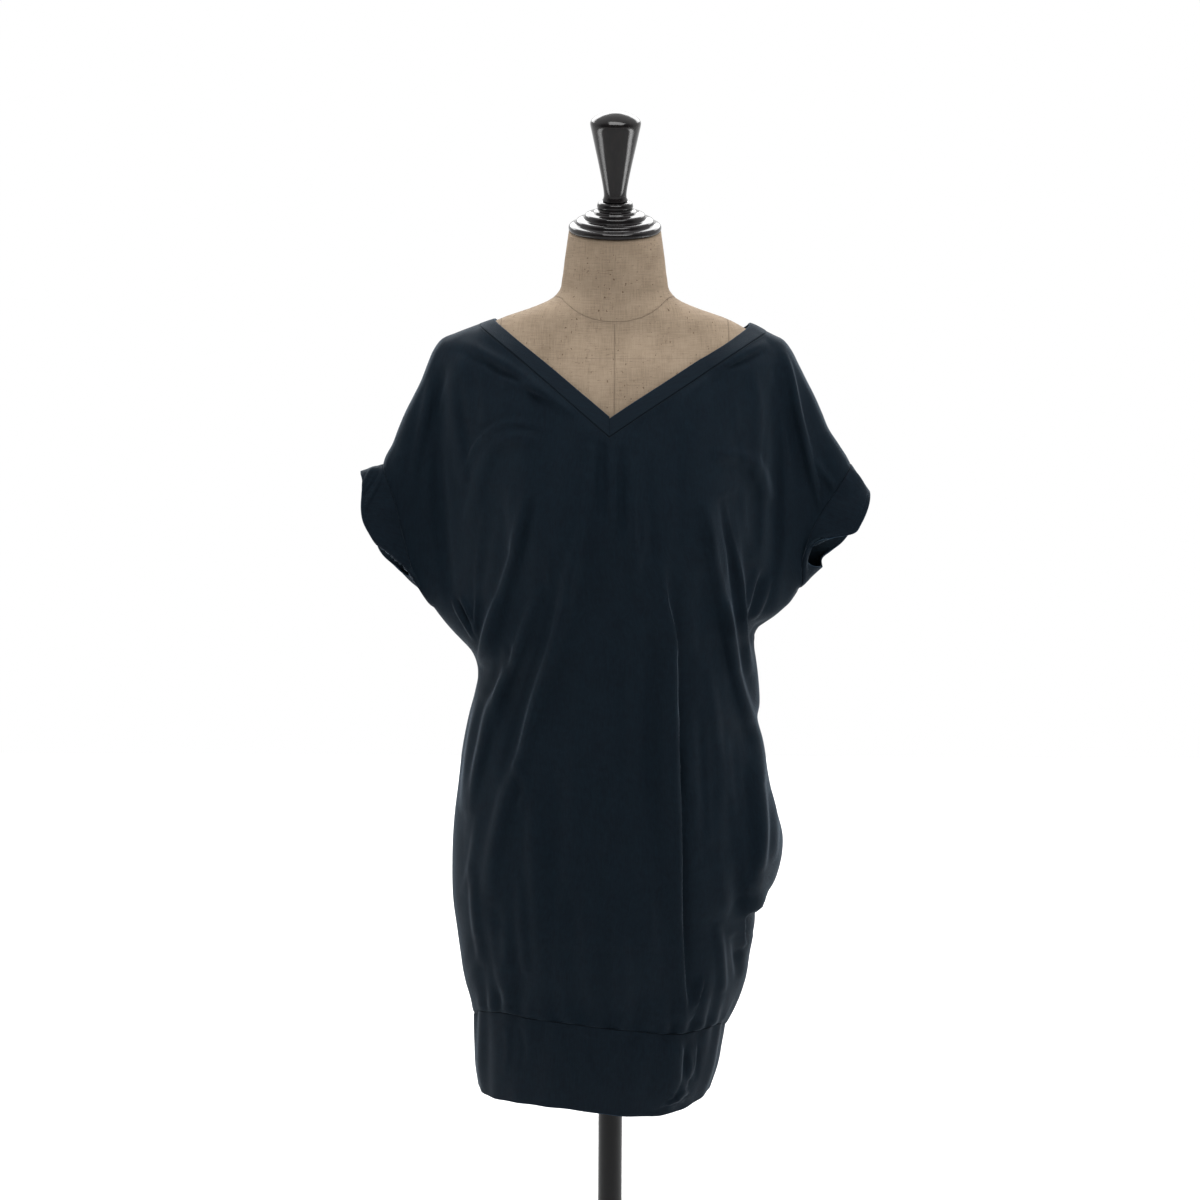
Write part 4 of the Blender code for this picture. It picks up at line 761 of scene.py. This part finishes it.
def top_distance(x, z, face):
    """Distance from the neckline and shoulder seams of a panel."""
    lines = (*NECK_SEAMS[face], ARM_RIGHT, ARM_LEFT)
    return np.minimum.reduce([distance_to_line(x, z, line)[0] for line in lines])


def band_points():
    """Rings of the hem band from its seam down to the hem."""
    rings = []
    turns = np.linspace(0.0, 2 * math.pi, BAND_STEPS_ROUND, endpoint=False)
    shares = edge_shares(BAND_ROWS, BAND_EDGE)
    cosine = np.cos(turns)
    rear = np.sin(turns) > 0
    sine = np.abs(np.sin(turns))**(2 / BAND_SQUARENESS)
    for share in shares:
        middle, half_width, front, back = (table_value(BAND_RINGS, place, share) for place in (1, 2, 3, 4))
        x = middle + half_width * np.sign(cosine) * np.abs(cosine)**(2 / BAND_SQUARENESS)
        y = np.where(rear, back * sine, -front * sine)
        top, foot = (np.where(rear, table_value(table, 2, x), table_value(table, 1, x))
                     for table in (BAND_TOP, BAND_BOTTOM))
        rings.append(np.stack((x, y, top * (1 - share) + foot * share), axis=-1))
    rings = np.array(rings)
    outward = (rings - np.array((BAND_TOP_MIDDLE, 0.0, 0.0))) * (1.0, 1.0, 0.0)
    normal = ring_normals(rings, outward)
    x, y, z = (rings[..., place] for place in range(3))
    lines = np.where(y > 0, fold_relief(x, z, BAND_CREASES_BACK), fold_relief(x, z, BAND_CREASES_FRONT))
    relief = lines * smooth_step(0.0, 0.03, np.abs(y))
    turn = turns[None, :]
    down = shares[:, None]
    ripple = (0.0009 * np.sin(13 * turn + 1.1) * np.sin(math.pi * down)
              + 0.0007 * np.sin(29 * turn) * (1 - down)**2 + 0.0006 * np.sin(21 * turn + 2.0 + 2.5 * down))
    return rings + normal * (relief + ripple)[..., None], shares


def edge_shares(count, edge):
    """Shares from 0 to 1 with points crowded at both ends, for edges that are rolled over."""
    ends = np.array((0.0, 0.1, 0.3, 0.6, 1.0)) * edge
    middle = np.linspace(edge, 1.0 - edge, count - 8)
    return np.concatenate((ends[:-1], middle, (1.0 - ends[:-1])[::-1]))


def rolled(shares, edge):
    """Thickness at each share, as a part of the full wall: rounded off near both edges."""
    return 0.25 + 0.75 * round_edge(np.minimum(shares, 1.0 - shares), edge)


def cuff_points(place, opening, panels):
    """Rings of a cuff from its seam out to its opening. The ring starts at the top fold, front first."""
    front, back = (rows[:YOKE_ROWS + 1, place] for rows in panels)
    inner = np.concatenate((front, back[::-1][1:-1]))
    folded = [0, YOKE_ROWS]
    inner[folded, 1] = 0.0
    rear = np.arange(len(inner)) > YOKE_ROWS
    height = inner[:, 2]
    share = np.clip((height[0] - height) / (height[0] - height[YOKE_ROWS]), 0.0, 1.0)
    depth = CUFF_OPENING_DEPTH * 2 * np.sqrt(share * (1 - share))
    outer_x, outer_z = (np.where(rear, table_value(opening, back, share), table_value(opening, front, share))
                        for front, back in ((1, 3), (2, 4)))
    outer = np.stack((outer_x, np.where(rear, depth, -depth), outer_z), axis=-1)
    for _ in range(HEM_SMOOTHING):
        mean = 0.5 * (np.roll(outer, 1, axis=0) + np.roll(outer, -1, axis=0))
        mean[folded] = outer[folded]
        outer = 0.5 * outer + 0.5 * mean
    inner = inner + np.array((math.copysign(CUFF_GAP, inner[0, 0]), 0.0, 0.0))
    shares = edge_shares(CUFF_ROWS, CUFF_EDGE)
    rings = np.array([inner * (1 - t) + outer * t for t in shares])
    turn = np.linspace(0.0, 2 * math.pi, len(inner), endpoint=False)
    x, y, z = (rings[..., place] for place in range(3))
    t = shares[:, None]
    bulge = 0.0022 * np.sin(math.pi * t) + 0.0010 * np.sin(5 * turn + 4.0 * t) * np.sin(math.pi * t)
    bulge = bulge + 0.0007 * np.sin(11 * turn + 0.7) * (1.0 - t)**2 * np.sin(math.pi * np.clip(t * 1.6, 0, 1))
    bulge = bulge + np.where(y < 0, fold_relief(x, z, CUFF_CREASES), 0.0)
    bulge = bulge * smooth_step(0.0, 0.012, np.abs(y))
    return rings + ring_normals(rings) * bulge[..., None], shares


def strip_sewn(rows, stitching):
    """Distances from the seam, the free edge and the hem stitching of a band, over the band's cloth."""
    from_seam = run_along(rows)
    from_edge = from_seam[-1] - from_seam
    return sewn_values(from_seam, from_edge, from_edge - stitching)


# ================================================================ neckband on the form's skin
def skin_level(points):
    """Below 1 inside the form's skin moved out by the ease, above 1 outside."""
    ease = ease_at(points[:, 2])
    half_width, front, back, power = (table_value(TORSO_SECTIONS, place, points[:, 2] - ease)
                                      for place in (1, 2, 3, 4))
    depth = np.where(points[:, 1] > 0, back, front) + ease
    return np.abs(points[:, 0] / (half_width + ease))**power + np.abs(points[:, 1] / depth)**power


def skin_normal(points):
    slope = [skin_level(points + move) - skin_level(points - move) for move in np.eye(3) * SMALL_MOVE]
    slope = np.stack(slope, axis=-1)
    return slope / np.linalg.norm(slope, axis=-1, keepdims=True)


def to_skin(points):
    """The nearest places to the points on the form's skin, moved out by the ease."""
    for _ in range(4):
        normal = skin_normal(points)
        move = normal * SMALL_MOVE
        slope = (skin_level(points + move) - skin_level(points - move)) / (2 * SMALL_MOVE)
        points = points + normal * ((1.0 - skin_level(points)) / slope)[:, None]
    return points


def seam_loop():
    """The neckline seam as one loop that starts and ends at the V, over the right shoulder first."""
    found = []
    for face, side, way in ((0, 0, -1), (1, 0, 1), (1, 1, -1), (0, 1, 1)):
        plan = along(NECK_SEAMS[face][side], np.linspace(0.0, 1.0, 121))[::way]
        depth = cloth_depth(plan[:, 0], plan[:, 1], face)
        points = np.stack((plan[:, 0], depth * (1.0 if face else -1.0), plan[:, 1]), axis=-1)
        found.append(points[1:] if found else points)
    return np.concatenate(found)


def neckband_rows():
    """Lines of the neckband from its seam to its free edge, each from mitre to mitre."""
    seam = seam_loop()
    mitre = V_SEAM_RIGHT[-1][0]
    line = to_skin(seam)
    lift = seam - line
    way = np.gradient(seam, axis=0)
    middle = seam.mean(axis=0)
    rows = []
    reaches = NECKBAND_WIDTH * edge_shares(NECKBAND_ROWS, NECKBAND_EDGE)
    before = 0.0
    for reach in reaches:
        step = (reach - before) / 2
        before = reach
        for _ in range(2):
            across = np.cross(skin_normal(line), way)
            across = across / np.linalg.norm(across, axis=-1, keepdims=True)
            inward = across[:, 0] * (middle[0] - line[:, 0]) + across[:, 2] * (NECK_FOOT - line[:, 2])
            line = to_skin(line + across * np.where(inward < 0, -1.0, 1.0)[:, None] * step)
        share = reach / NECKBAND_WIDTH
        from_shoulder = np.linalg.norm(line[:, :2] - np.array((SHOULDER_STAND_X, 0.0)), axis=1)
        stand = SHOULDER_STAND * np.exp(-(from_shoulder / SHOULDER_STAND_REACH)**2) * share
        lifted = line + lift * (1.0 - share) + np.array((0.0, 0.0, 1.0)) * stand[:, None]
        half = len(lifted) // 2
        first = np.nonzero(lifted[:half, 0] <= mitre)[0][0]
        last = half + np.nonzero(lifted[half:, 0] >= mitre)[0][-1]
        head = cut_at(lifted[max(first - 1, 0)], lifted[first], mitre)
        tail = cut_at(lifted[last], lifted[min(last + 1, len(lifted) - 1)], mitre)
        full = np.concatenate((head[None], lifted[first:last + 1], tail[None]))
        rows.append(along(full, np.linspace(0.0, 1.0, NECKBAND_STEPS), straight_value))
    return np.array(rows)


def cut_at(first, second, x):
    """The place between two points where they cross x."""
    gap = second[0] - first[0]
    if abs(gap) < 1e-9:
        return first
    return first + (second - first) * min(max((x - first[0]) / gap, -1.0), 2.0)


# ================================================================ the form
def torso_points():
    """Rings of the form from its flat bottom to the top of the neck, which leans forward."""
    turns = np.linspace(0.0, 2 * math.pi, TORSO_ROUND, endpoint=False)
    cosine, sine = np.cos(turns), np.sin(turns)
    low = TORSO_SECTIONS[0][0]
    rings = []
    heights = np.concatenate((low + FOOT_ROUNDING * (1 - np.cos(np.linspace(0, 0.5 * math.pi, 7)[:-1])),
                              np.linspace(low + FOOT_ROUNDING, NECK_TOP[2], TORSO_ROWS)))
    for height in heights:
        half_width, front, back, squareness = (table_value(TORSO_SECTIONS, k, height) for k in (1, 2, 3, 4))
        trim = FOOT_TRIM * (1.0 - round_edge(height - low, FOOT_ROUNDING))
        power = 2.0 / squareness
        x = (half_width - trim) * np.sign(cosine) * np.abs(cosine)**power
        y = np.where(sine > 0, back - trim, front - trim) * np.sign(sine) * np.abs(sine)**power
        lean = math.tan(NECK_LEAN) * smooth_step(NECK_FOOT, NECK_TOP[2], height)
        rings.append(np.stack((x, y, height + (y - NECK_TOP[1]) * lean), axis=-1))
    return np.array(rings)


# ================================================================ meshes
def grid_mesh(name, rows, closed, capped=False):
    """A mesh through rows of points. closed joins each row into a ring, capped fills the end rings."""
    count, width = rows.shape[:2]
    row, place = np.meshgrid(np.arange(count - 1), np.arange(width if closed else width - 1), indexing="ij")
    after = (place + 1) % width
    faces = np.stack((row * width + place, row * width + after,
                      (row + 1) * width + after, (row + 1) * width + place), axis=-1).reshape(-1, 4).tolist()
    if capped:
        faces.append(tuple(range(width))[::-1])
        faces.append(tuple(range((count - 1) * width, count * width)))
    mesh = bpy.data.meshes.new(name)
    mesh.from_pydata(rows.reshape(-1, 3).tolist(), [], faces)
    mesh.update()
    mesh.shade_smooth()
    return mesh


def flat_of(rows, closed):
    """Flat coordinates of a grid of points, from lengths measured over the cloth."""
    across = run_along(rows, 1)
    across = across - across[:, -1:] * 0.5
    if closed:
        steps = np.linalg.norm(np.diff(rows, axis=1), axis=-1).mean(axis=0)
        across = np.broadcast_to(np.concatenate(([0.0], np.cumsum(steps))), across.shape)
    return np.stack((across, run_along(rows), np.zeros(across.shape)), axis=-1)


def store(mesh, name, *parts):
    """Store a vector for each point of a mesh."""
    values = np.stack(parts, axis=-1) if len(parts) > 1 else parts[0]
    held = mesh.attributes.new(name, "FLOAT_VECTOR", "POINT")
    held.data.foreach_set("vector", np.ascontiguousarray(values, dtype=np.float32).reshape(-1))


def piece(name, mesh, finish, slot, *nodes):
    """A piece that rides on the part's body and stands for the named nodes."""
    made = bpy.data.objects.new(name, mesh)
    mesh.materials.append(finish)
    bpy.context.scene.collection.objects.link(made)
    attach(made, "root")
    if nodes:
        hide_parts(*nodes)
    return made


def cloth_piece(name, rows, closed, wall, finish, *nodes, sewn, thin=None, inside=None):
    """A piece of cloth. sewn holds each point's distance from its seams, free edges and hem stitching."""
    mesh = grid_mesh(name, rows, closed)
    store(mesh, "flat", flat_of(rows, closed))
    store(mesh, "sewn", sewn)
    made = piece(name, mesh, finish, "navy_jersey", *nodes)
    solid = made.modifiers.new("wall", "SOLIDIFY")
    solid.thickness = wall
    solid.offset = 0.0
    # inside is a paler copy of the jersey for the inner wall, painted light for the cuffs' hollows.
    if inside is not None:
        mesh.materials[0] = inside
        mesh.materials.append(finish)
        solid.material_offset = solid.material_offset_rim = 1
    if thin is not None:
        group = made.vertex_groups.new(name="wall")
        weights = np.repeat(thin, rows.shape[1])
        for value in np.unique(weights):
            group.add(np.nonzero(weights == value)[0].tolist(), float(value), "REPLACE")
        solid.vertex_group = "wall"
    return made


def turned_piece(name, profile, finish, slot, node, steps, cuts):
    """A turned piece from a profile of (radius, height), each of whose corners is cut and curved."""
    points = np.array(profile, dtype=float)
    found = [points[0]]
    for before, corner, after in zip(points[:-2], points[1:-1], points[2:]):
        first = corner + (before - corner) * CORNER_CUT
        last = corner + (after - corner) * CORNER_CUT
        for t in np.linspace(0.0, 1.0, cuts):
            found.append(first * (1 - t)**2 + corner * 2 * t * (1 - t) + last * t**2)
    found.append(points[-1])
    turns = np.linspace(0.0, 2 * math.pi, steps, endpoint=False)
    rows = [np.stack((radius * np.cos(turns), radius * np.sin(turns), np.full(steps, height)), axis=-1)
            for radius, height in found[::-1]]
    made = piece(name, grid_mesh(name, np.array(rows), True), finish, slot, node)
    made.modifiers.new("weld", "WELD").merge_threshold = 0.00002
    return made


# ================================================================ materials
class Tree:
    """A short way to write the nodes of a material or world."""

    def __init__(self, owner):
        owner.use_nodes = True
        self.owner = owner
        self.tree = owner.node_tree

    def node(self, kind, inputs=(), **settings):
        made = self.tree.nodes.new("ShaderNode" + kind)
        for key, value in settings.items():
            setattr(made, key, value)
        for key, value in dict(inputs).items():
            self.feed(made.inputs[key], value)
        return made

    def feed(self, socket, value):
        if isinstance(value, bpy.types.NodeSocket):
            self.tree.links.new(value, socket)
        else:
            socket.default_value = value

    def parts(self, name):
        """The stored vector of that name, and its parts."""
        vector = self.node("Attribute", attribute_name=name).outputs["Vector"]
        return vector, self.node("SeparateXYZ", {0: vector}).outputs

    def place(self):
        return self.node("TexCoord").outputs["Object"]

    def math(self, operation, first, second=0.0):
        return self.node("Math", {0: first, 1: second}, operation=operation).outputs[0]

    def times(self, first, second):
        return self.math("MULTIPLY", first, second)

    def total(self, *terms):
        """Sum of values, each with its share."""
        found = None
        for value, share in terms:
            part = self.times(value, share)
            found = part if found is None else self.math("ADD", found, part)
        return found

    def ramp(self, value, low, high, to_low=0.0, to_high=1.0):
        return self.node("MapRange", {"Value": value, "From Min": low, "From Max": high, "To Min": to_low,
                                      "To Max": to_high}, interpolation_type="SMOOTHSTEP").outputs[0]

    def mix(self, share, first, second):
        first, second = (part + (1.0,) if isinstance(part, tuple) else part for part in (first, second))
        return self.node("Mix", {0: share, 6: first, 7: second}, data_type="RGBA").outputs[2]

    def noise(self, vector, scale, detail=2.0, roughness=0.5):
        """Noise, with one scale or a scale for each axis."""
        if isinstance(scale, tuple):
            vector = self.node("VectorMath", {0: vector, 1: scale}, operation="MULTIPLY").outputs[0]
            scale = 1.0
        return self.node("TexNoise", {"Vector": vector, "Scale": scale, "Detail": detail,
                                      "Roughness": roughness}).outputs[0]

    def bumps(self, *layers):
        """Normal from layers of height, distance and strength."""
        normal = None
        for height, distance, strength in layers:
            inputs = {"Height": height, "Distance": distance, "Strength": strength}
            if normal is not None:
                inputs["Normal"] = normal
            normal = self.node("Bump", inputs).outputs[0]
        return normal

    def finish(self, **values):
        """Set the shader's inputs and give back the material."""
        for key, value in values.items():
            self.feed(self.tree.nodes["Principled BSDF"].inputs[key.replace("_", " ")], value)
        return self.owner


def shade(base, factor):
    return tuple(part * factor for part in base)


def jersey_material(name, base):
    """Fine weft knit, matt, with painted shade in its seam and stitching grooves and a painted highlight
    along its free edges.
    """
    made = Tree(bpy.data.materials.new(name))
    flat, (u, v, _) = made.parts("flat")
    wale = made.math("PINGPONG", made.math("DIVIDE", u, RIB), 0.5)
    rise = made.math("ADD", made.math("DIVIDE", v, RIB * 0.8), made.times(wale, 1.1))
    loop = made.math("PINGPONG", rise, 0.5)
    stitch = made.total((wale, 1.2), (loop, 0.9))
    streaks = made.noise(flat, (1400.0, 40.0, 1.0), 2.0, 0.6)
    cloudy = made.noise(flat, 34.0, 3.0, 0.6)
    mottled = made.noise(flat, (260.0, 150.0, 1.0), 3.0, 0.7)
    tone = made.total((streaks, 0.35), (cloudy, 0.16), (stitch, 0.22),
                      (made.math("SUBTRACT", mottled, 0.5), 0.30))
    darker = (base[0] * 0.78, base[1] * 0.66, base[2] * 0.70)
    lighter = (base[0] * 1.24, base[1] * 1.40, base[2] * 1.32)
    color = made.mix(made.ramp(tone, 0.18, 0.52), darker, lighter)
    lint = made.noise(flat, 620.0, 2.0, 0.6)
    color = made.mix(made.ramp(lint, 0.735, 0.80, 0.0, 0.35), color, (0.050, 0.058, 0.066))
    from_seam, from_edge, from_stitching = made.parts("sewn")[1]
    # Painted shade: a darker colour in the groove along each seam.
    seam = made.ramp(from_seam, 0.0003, 0.0012, 1.0, 0.0)
    # Painted highlight: a much paler colour along the rolled free edges of the bands and cuffs.
    edge = made.ramp(from_edge, 0.0004, 0.0016, 1.0, 0.0)
    # Painted shade: a darker colour in the groove of the hem stitching, which also carries the thread's
    # dashes.
    hem = made.ramp(made.math("ABSOLUTE", from_stitching), 0.0002, 0.0007, 1.0, 0.0)
    dash = made.math("PINGPONG", made.math("DIVIDE", u, STITCH_LENGTH), 0.5)
    thread = made.times(hem, made.ramp(dash, 0.10, 0.22))
    # Mixes in the painted shade of the seam and stitching grooves, the paler thread and the painted highlight
    # on the free edges.
    for mask, share, factor in ((seam, 0.50, 0.34), (hem, 0.45, 0.40), (thread, 0.6, 1.9), (edge, 0.70, 4.2)):
        color = made.mix(made.times(mask, share), color, shade(base, factor))
    normal = made.bumps((made.math("SUBTRACT", 1.0, made.math("MAXIMUM", seam, hem)), 0.0003, 1.0),
                        (thread, 0.0003, 1.0), (stitch, 0.00016, 0.55),
                        (made.noise(flat, 2600.0, 2.0, 0.7), 0.00008, 0.5), (cloudy, 0.0006, 0.35))
    return made.finish(Base_Color=color, Normal=normal, Roughness=0.78, Sheen_Weight=0.18,
                       Sheen_Roughness=0.28, Sheen_Tint=(0.62, 0.80, 1.0, 1.0), Specular_IOR_Level=0.10)


def linen_material():
    """Plain-woven natural linen, with slubs, brown flecks and the form's seams."""
    made = Tree(bpy.data.materials.new("natural_linen_cloth"))
    flat, (u, v, _) = made.parts("flat")
    weave = made.times(*(made.math("SINE", made.times(way, 2 * math.pi / WEAVE_PITCH)) for way in (u, v)))
    slub = made.total((made.noise(flat, (900.0, 60.0, 1.0), 3.0, 0.6), 0.5),
                      (made.noise(flat, (60.0, 900.0, 1.0), 3.0, 0.6), 0.5))
    tone = made.total((slub, 0.6), (made.noise(flat, 16.0, 3.0, 0.6), 0.4))
    color = made.mix(made.ramp(tone, 0.36, 0.64), (0.262, 0.198, 0.136), (0.430, 0.334, 0.240))
    for value, low, high, share, paint in (
            (weave, -0.6, 0.8, 0.25, (0.170, 0.122, 0.085)),
            (made.noise(flat, 1500.0, 2.0, 0.6), 0.35, 0.7, 0.25, (0.31, 0.25, 0.195)),
            (made.noise(flat, (300.0, 210.0, 1.0)), 0.665, 0.730, 0.80, (0.085, 0.045, 0.025)),
            (made.noise(flat, (90.0, 700.0, 1.0), 2.0, 0.6), 0.655, 0.720, 0.55, (0.115, 0.070, 0.042)),
            (made.noise(flat, (700.0, 90.0, 1.0), 2.0, 0.6), 0.665, 0.730, 0.45, (0.125, 0.078, 0.048))):
        color = made.mix(made.ramp(value, low, high, 0.0, share), color, paint)
    lines = [made.ramp(made.math("ABSOLUTE", output), 0.0002, 0.0008, 1.0, 0.0)
             for output in (*made.parts("seams")[1], made.parts("more_seams")[1][0])]
    seam = lines[0]
    for line in lines[1:]:
        seam = made.math("MAXIMUM", seam, line)
    color = made.mix(made.times(seam, 0.18), color, (0.090, 0.060, 0.040))
    normal = made.bumps((made.math("SUBTRACT", 1.0, seam), 0.0007, 1.0), (weave, 0.00012, 0.5),
                        (slub, 0.0005, 0.6))
    return made.finish(Base_Color=color, Normal=normal, Roughness=0.88, Specular_IOR_Level=0.20)


def lacquer_material():
    """Dark stained wood under a clear gloss."""
    made = Tree(bpy.data.materials.new("dark_lacquered_wood"))
    place = made.place()
    grain = made.noise(place, (160.0, 160.0, 14.0), 4.0, 0.6)
    color = made.mix(made.ramp(grain, 0.35, 0.70), (0.0050, 0.0045, 0.0050), (0.0095, 0.0075, 0.0075))
    rough = made.ramp(made.noise(place, 60.0, 3.0, 0.6), 0.3, 0.75, 0.09, 0.16)
    return made.finish(Base_Color=color, Roughness=rough, Normal=made.bumps((grain, 0.00006, 0.4)),
                       Coat_Weight=0.32, Coat_Roughness=0.10, Specular_IOR_Level=0.16)


def enamel_material():
    """Satin black enamel on steel."""
    made = Tree(bpy.data.materials.new("satin_black_enamel"))
    place = made.place()
    wear = made.noise(place, 26.0, 4.0, 0.6)
    color = made.mix(made.ramp(wear, 0.3, 0.7), (0.0060, 0.0062, 0.0070), (0.0090, 0.0093, 0.0102))
    return made.finish(Base_Color=color, Roughness=made.ramp(wear, 0.3, 0.75, 0.30, 0.44),
                       Normal=made.bumps((made.noise(place, 420.0), 0.00005, 0.4)), Specular_IOR_Level=0.22)


def floor_material():
    made = Tree(bpy.data.materials.new("pale_floor"))
    color = made.mix(made.noise(made.place(), 3.0, 3.0, 0.6), (0.86, 0.86, 0.86), (0.90, 0.90, 0.90))
    return made.finish(Base_Color=color, Roughness=0.9)


# ================================================================ camera, lights and floor
scene = bpy.context.scene
camera_data = bpy.data.cameras.new("camera")
camera_data.lens = 79.7256
camera_data.sensor_width = 36.0
camera = bpy.data.objects.new("camera", camera_data)
camera.matrix_world = (Matrix.Translation((-0.01492, -3.0, 1.63939))
                       @ Matrix.Rotation(math.radians(79.0), 4, "X")
                       @ Matrix.Rotation(math.radians(0.25), 4, "Z"))
scene.collection.objects.link(camera)
scene.camera = camera

# The world is white, but dim above the floor on the side that the dress faces.
scene.world = bpy.data.worlds.new("studio")
sky = Tree(scene.world)
direction = sky.node("SeparateXYZ", {0: sky.node("TexCoord").outputs["Generated"]}).outputs
backdrop = sky.tree.nodes["Background"].inputs
sky.feed(backdrop["Strength"], sky.math("MAXIMUM", sky.ramp(direction[1], -0.55, 0.15, 0.13, 1.0),
                                        sky.ramp(direction[2], -0.03, 0.0, 1.0, 0.0)))
backdrop["Color"].default_value = (1.0, 1.0, 1.0, 1.0)
scene.view_settings.view_transform = "Standard"

for name, place, aim, width, height, watts in (
        ("left_box", (-2.6, -0.3, 1.6), (0.0, 0.0, 1.0), 1.4, 2.4, 305.0),
        ("right_box", (2.6, -0.3, 1.6), (0.0, 0.0, 1.0), 1.4, 2.4, 425.0),
        ("back_floor_box", (0.0, 2.4, 2.7), (0.0, 2.45, 0.0), 3.6, 2.6, 150.0),
        ("top_box", (0.15, -0.75, 3.3), (0.0, 0.0, 1.3), 1.6, 1.0, 38.0)):
    light = bpy.data.lights.new(name, "AREA")
    light.shape = "RECTANGLE"
    light.size = width
    light.size_y = height
    light.energy = watts
    lamp = bpy.data.objects.new(name, light)
    way = np.array(aim) - np.array(place)
    turn = math.pi - math.atan2(way[0], -way[1])
    tilt = math.atan2(math.hypot(way[0], way[1]), -way[2])
    lamp.matrix_world = (Matrix.Translation(place) @ Matrix.Rotation(turn, 4, "Z")
                         @ Matrix.Rotation(tilt, 4, "X"))
    scene.collection.objects.link(lamp)

floor_mesh = bpy.data.meshes.new("floor")
floor_mesh.from_pydata([(-3.4, -3.4, 0), (3.4, -3.4, 0), (3.4, 3.4, 0), (-3.4, 3.4, 0)], [], [(0, 1, 2, 3)])
floor_mesh.materials.append(floor_material())
floor = bpy.data.objects.new("floor", floor_mesh)
floor.location = (0.0, 0.0, -0.0005)
scene.collection.objects.link(floor)

# ================================================================ the dress
body_jersey = jersey_material("navy_jersey_cloth", (0.0044, 0.0098, 0.0168))
band_jersey = jersey_material("navy_band_cloth", (0.0050, 0.0102, 0.0172))
# A paler copy of the jersey for the cuffs' inner walls: painted light that stands in for the light inside the
# cuffs' hollows.
painted_light_inside_jersey = jersey_material("navy_jersey_inside_painted_light", (0.0085, 0.0155, 0.0235))

(front_rows, front_sewn), (back_rows, back_sewn) = panel_points(0), panel_points(1)
front = cloth_piece("dress_front", front_rows[::-1], False, JERSEY_WALL, body_jersey, "front_panel",
                    sewn=front_sewn[::-1])
back = cloth_piece("dress_back", back_rows, False, JERSEY_WALL, body_jersey, "back_panel", sewn=back_sewn)

rows, shares = band_points()
band = cloth_piece("dress_hem_band", rows[::-1], True, BAND_WALL, band_jersey, "hem_band",
                   sewn=strip_sewn(rows, FAR)[::-1], thin=rolled(shares, BAND_EDGE)[::-1])

for side, place, opening, flip in (("right", 0, CUFF_OPENING_RIGHT, 1), ("left", -1, CUFF_OPENING_LEFT, -1)):
    rows, shares = cuff_points(place, opening, (front_rows, back_rows))
    cuff = cloth_piece("dress_cuff_" + side, rows[::flip], True, BAND_WALL, band_jersey, "cuff_" + side,
                       sewn=strip_sewn(rows, HEM_STITCHING)[::flip],
                       thin=rolled(shares, CUFF_EDGE)[::flip], inside=painted_light_inside_jersey)

rows = neckband_rows()
neckband = cloth_piece("dress_neckband", rows, False, BAND_WALL, band_jersey, "neckband",
                       sewn=strip_sewn(rows, FAR),
                       thin=rolled(edge_shares(NECKBAND_ROWS, NECKBAND_EDGE), NECKBAND_EDGE))

# ================================================================ the form
torso_rows = torso_points()
torso_mesh = grid_mesh("form_linen", torso_rows, True, capped=True)
x, y, z = (torso_rows[..., place] for place in range(3))
girth = run_along(torso_rows, 1)
girth = girth - girth[:, 3 * TORSO_ROUND // 4][:, None]
store(torso_mesh, "flat", girth, z, np.zeros(x.shape))
dip = 1.0 - np.clip(np.abs(x) / NECK_SEAM_HALF_WIDTH, 0.0, 1.0)**NECK_SEAM_POWER
neck_seam = z - (NECK_SEAM_TOP - np.where(y < 0, NECK_SEAM_DIP_FRONT, NECK_SEAM_DIP_BACK) * dip)
centre_seam = np.where((np.abs(x) < 0.03) & (neck_seam < 0.0), x, 0.03)
shoulder_seam = np.where((z > SHOULDER_SEAM_FOOT) & (neck_seam < 0.0), y, 0.03)
store(torso_mesh, "seams", centre_seam, neck_seam, shoulder_seam)
side_seam = np.where(neck_seam < 0.0, np.abs(x) - SIDE_SEAM_X, SIDE_SEAM_X)
store(torso_mesh, "more_seams", side_seam, side_seam, side_seam)
piece("form_linen", torso_mesh, linen_material(), "natural_linen", "form_torso")

lacquer, enamel = lacquer_material(), enamel_material()
cap = turned_piece("form_neck_cap", CAP_PROFILE, lacquer, "lacquered_wood", "neck_cap", 96, 4)
finial = turned_piece("form_finial", FINIAL_PROFILE, lacquer, "lacquered_wood", "finial", 96, 4)
leaning_up = np.array((0.0, -math.sin(NECK_LEAN), math.cos(NECK_LEAN)))
for made, rise in ((cap, STAND_GAP), (finial, STAND_GAP + FINIAL_FOOT)):
    made.data.transform(Matrix.Translation(np.array(NECK_TOP) + leaning_up * rise)
                        @ Matrix.Rotation(NECK_LEAN, 4, "X"))
foot = BASE_PROFILE[0][1] + STAND_GAP
head = TORSO_SECTIONS[0][0] - STAND_GAP
pole_profile = ((0.0, head), (POLE_RADIUS - 0.0004, head), (POLE_RADIUS, head - 0.0008),
                (POLE_RADIUS, foot + 0.0008), (POLE_RADIUS - 0.0004, foot), (0.0, foot))
turned_piece("stand_pole", pole_profile, enamel, "black_enamel", "pole", 64, 3)
turned_piece("stand_foot", BASE_PROFILE, enamel, "black_enamel", "stand_base", 128, 4)
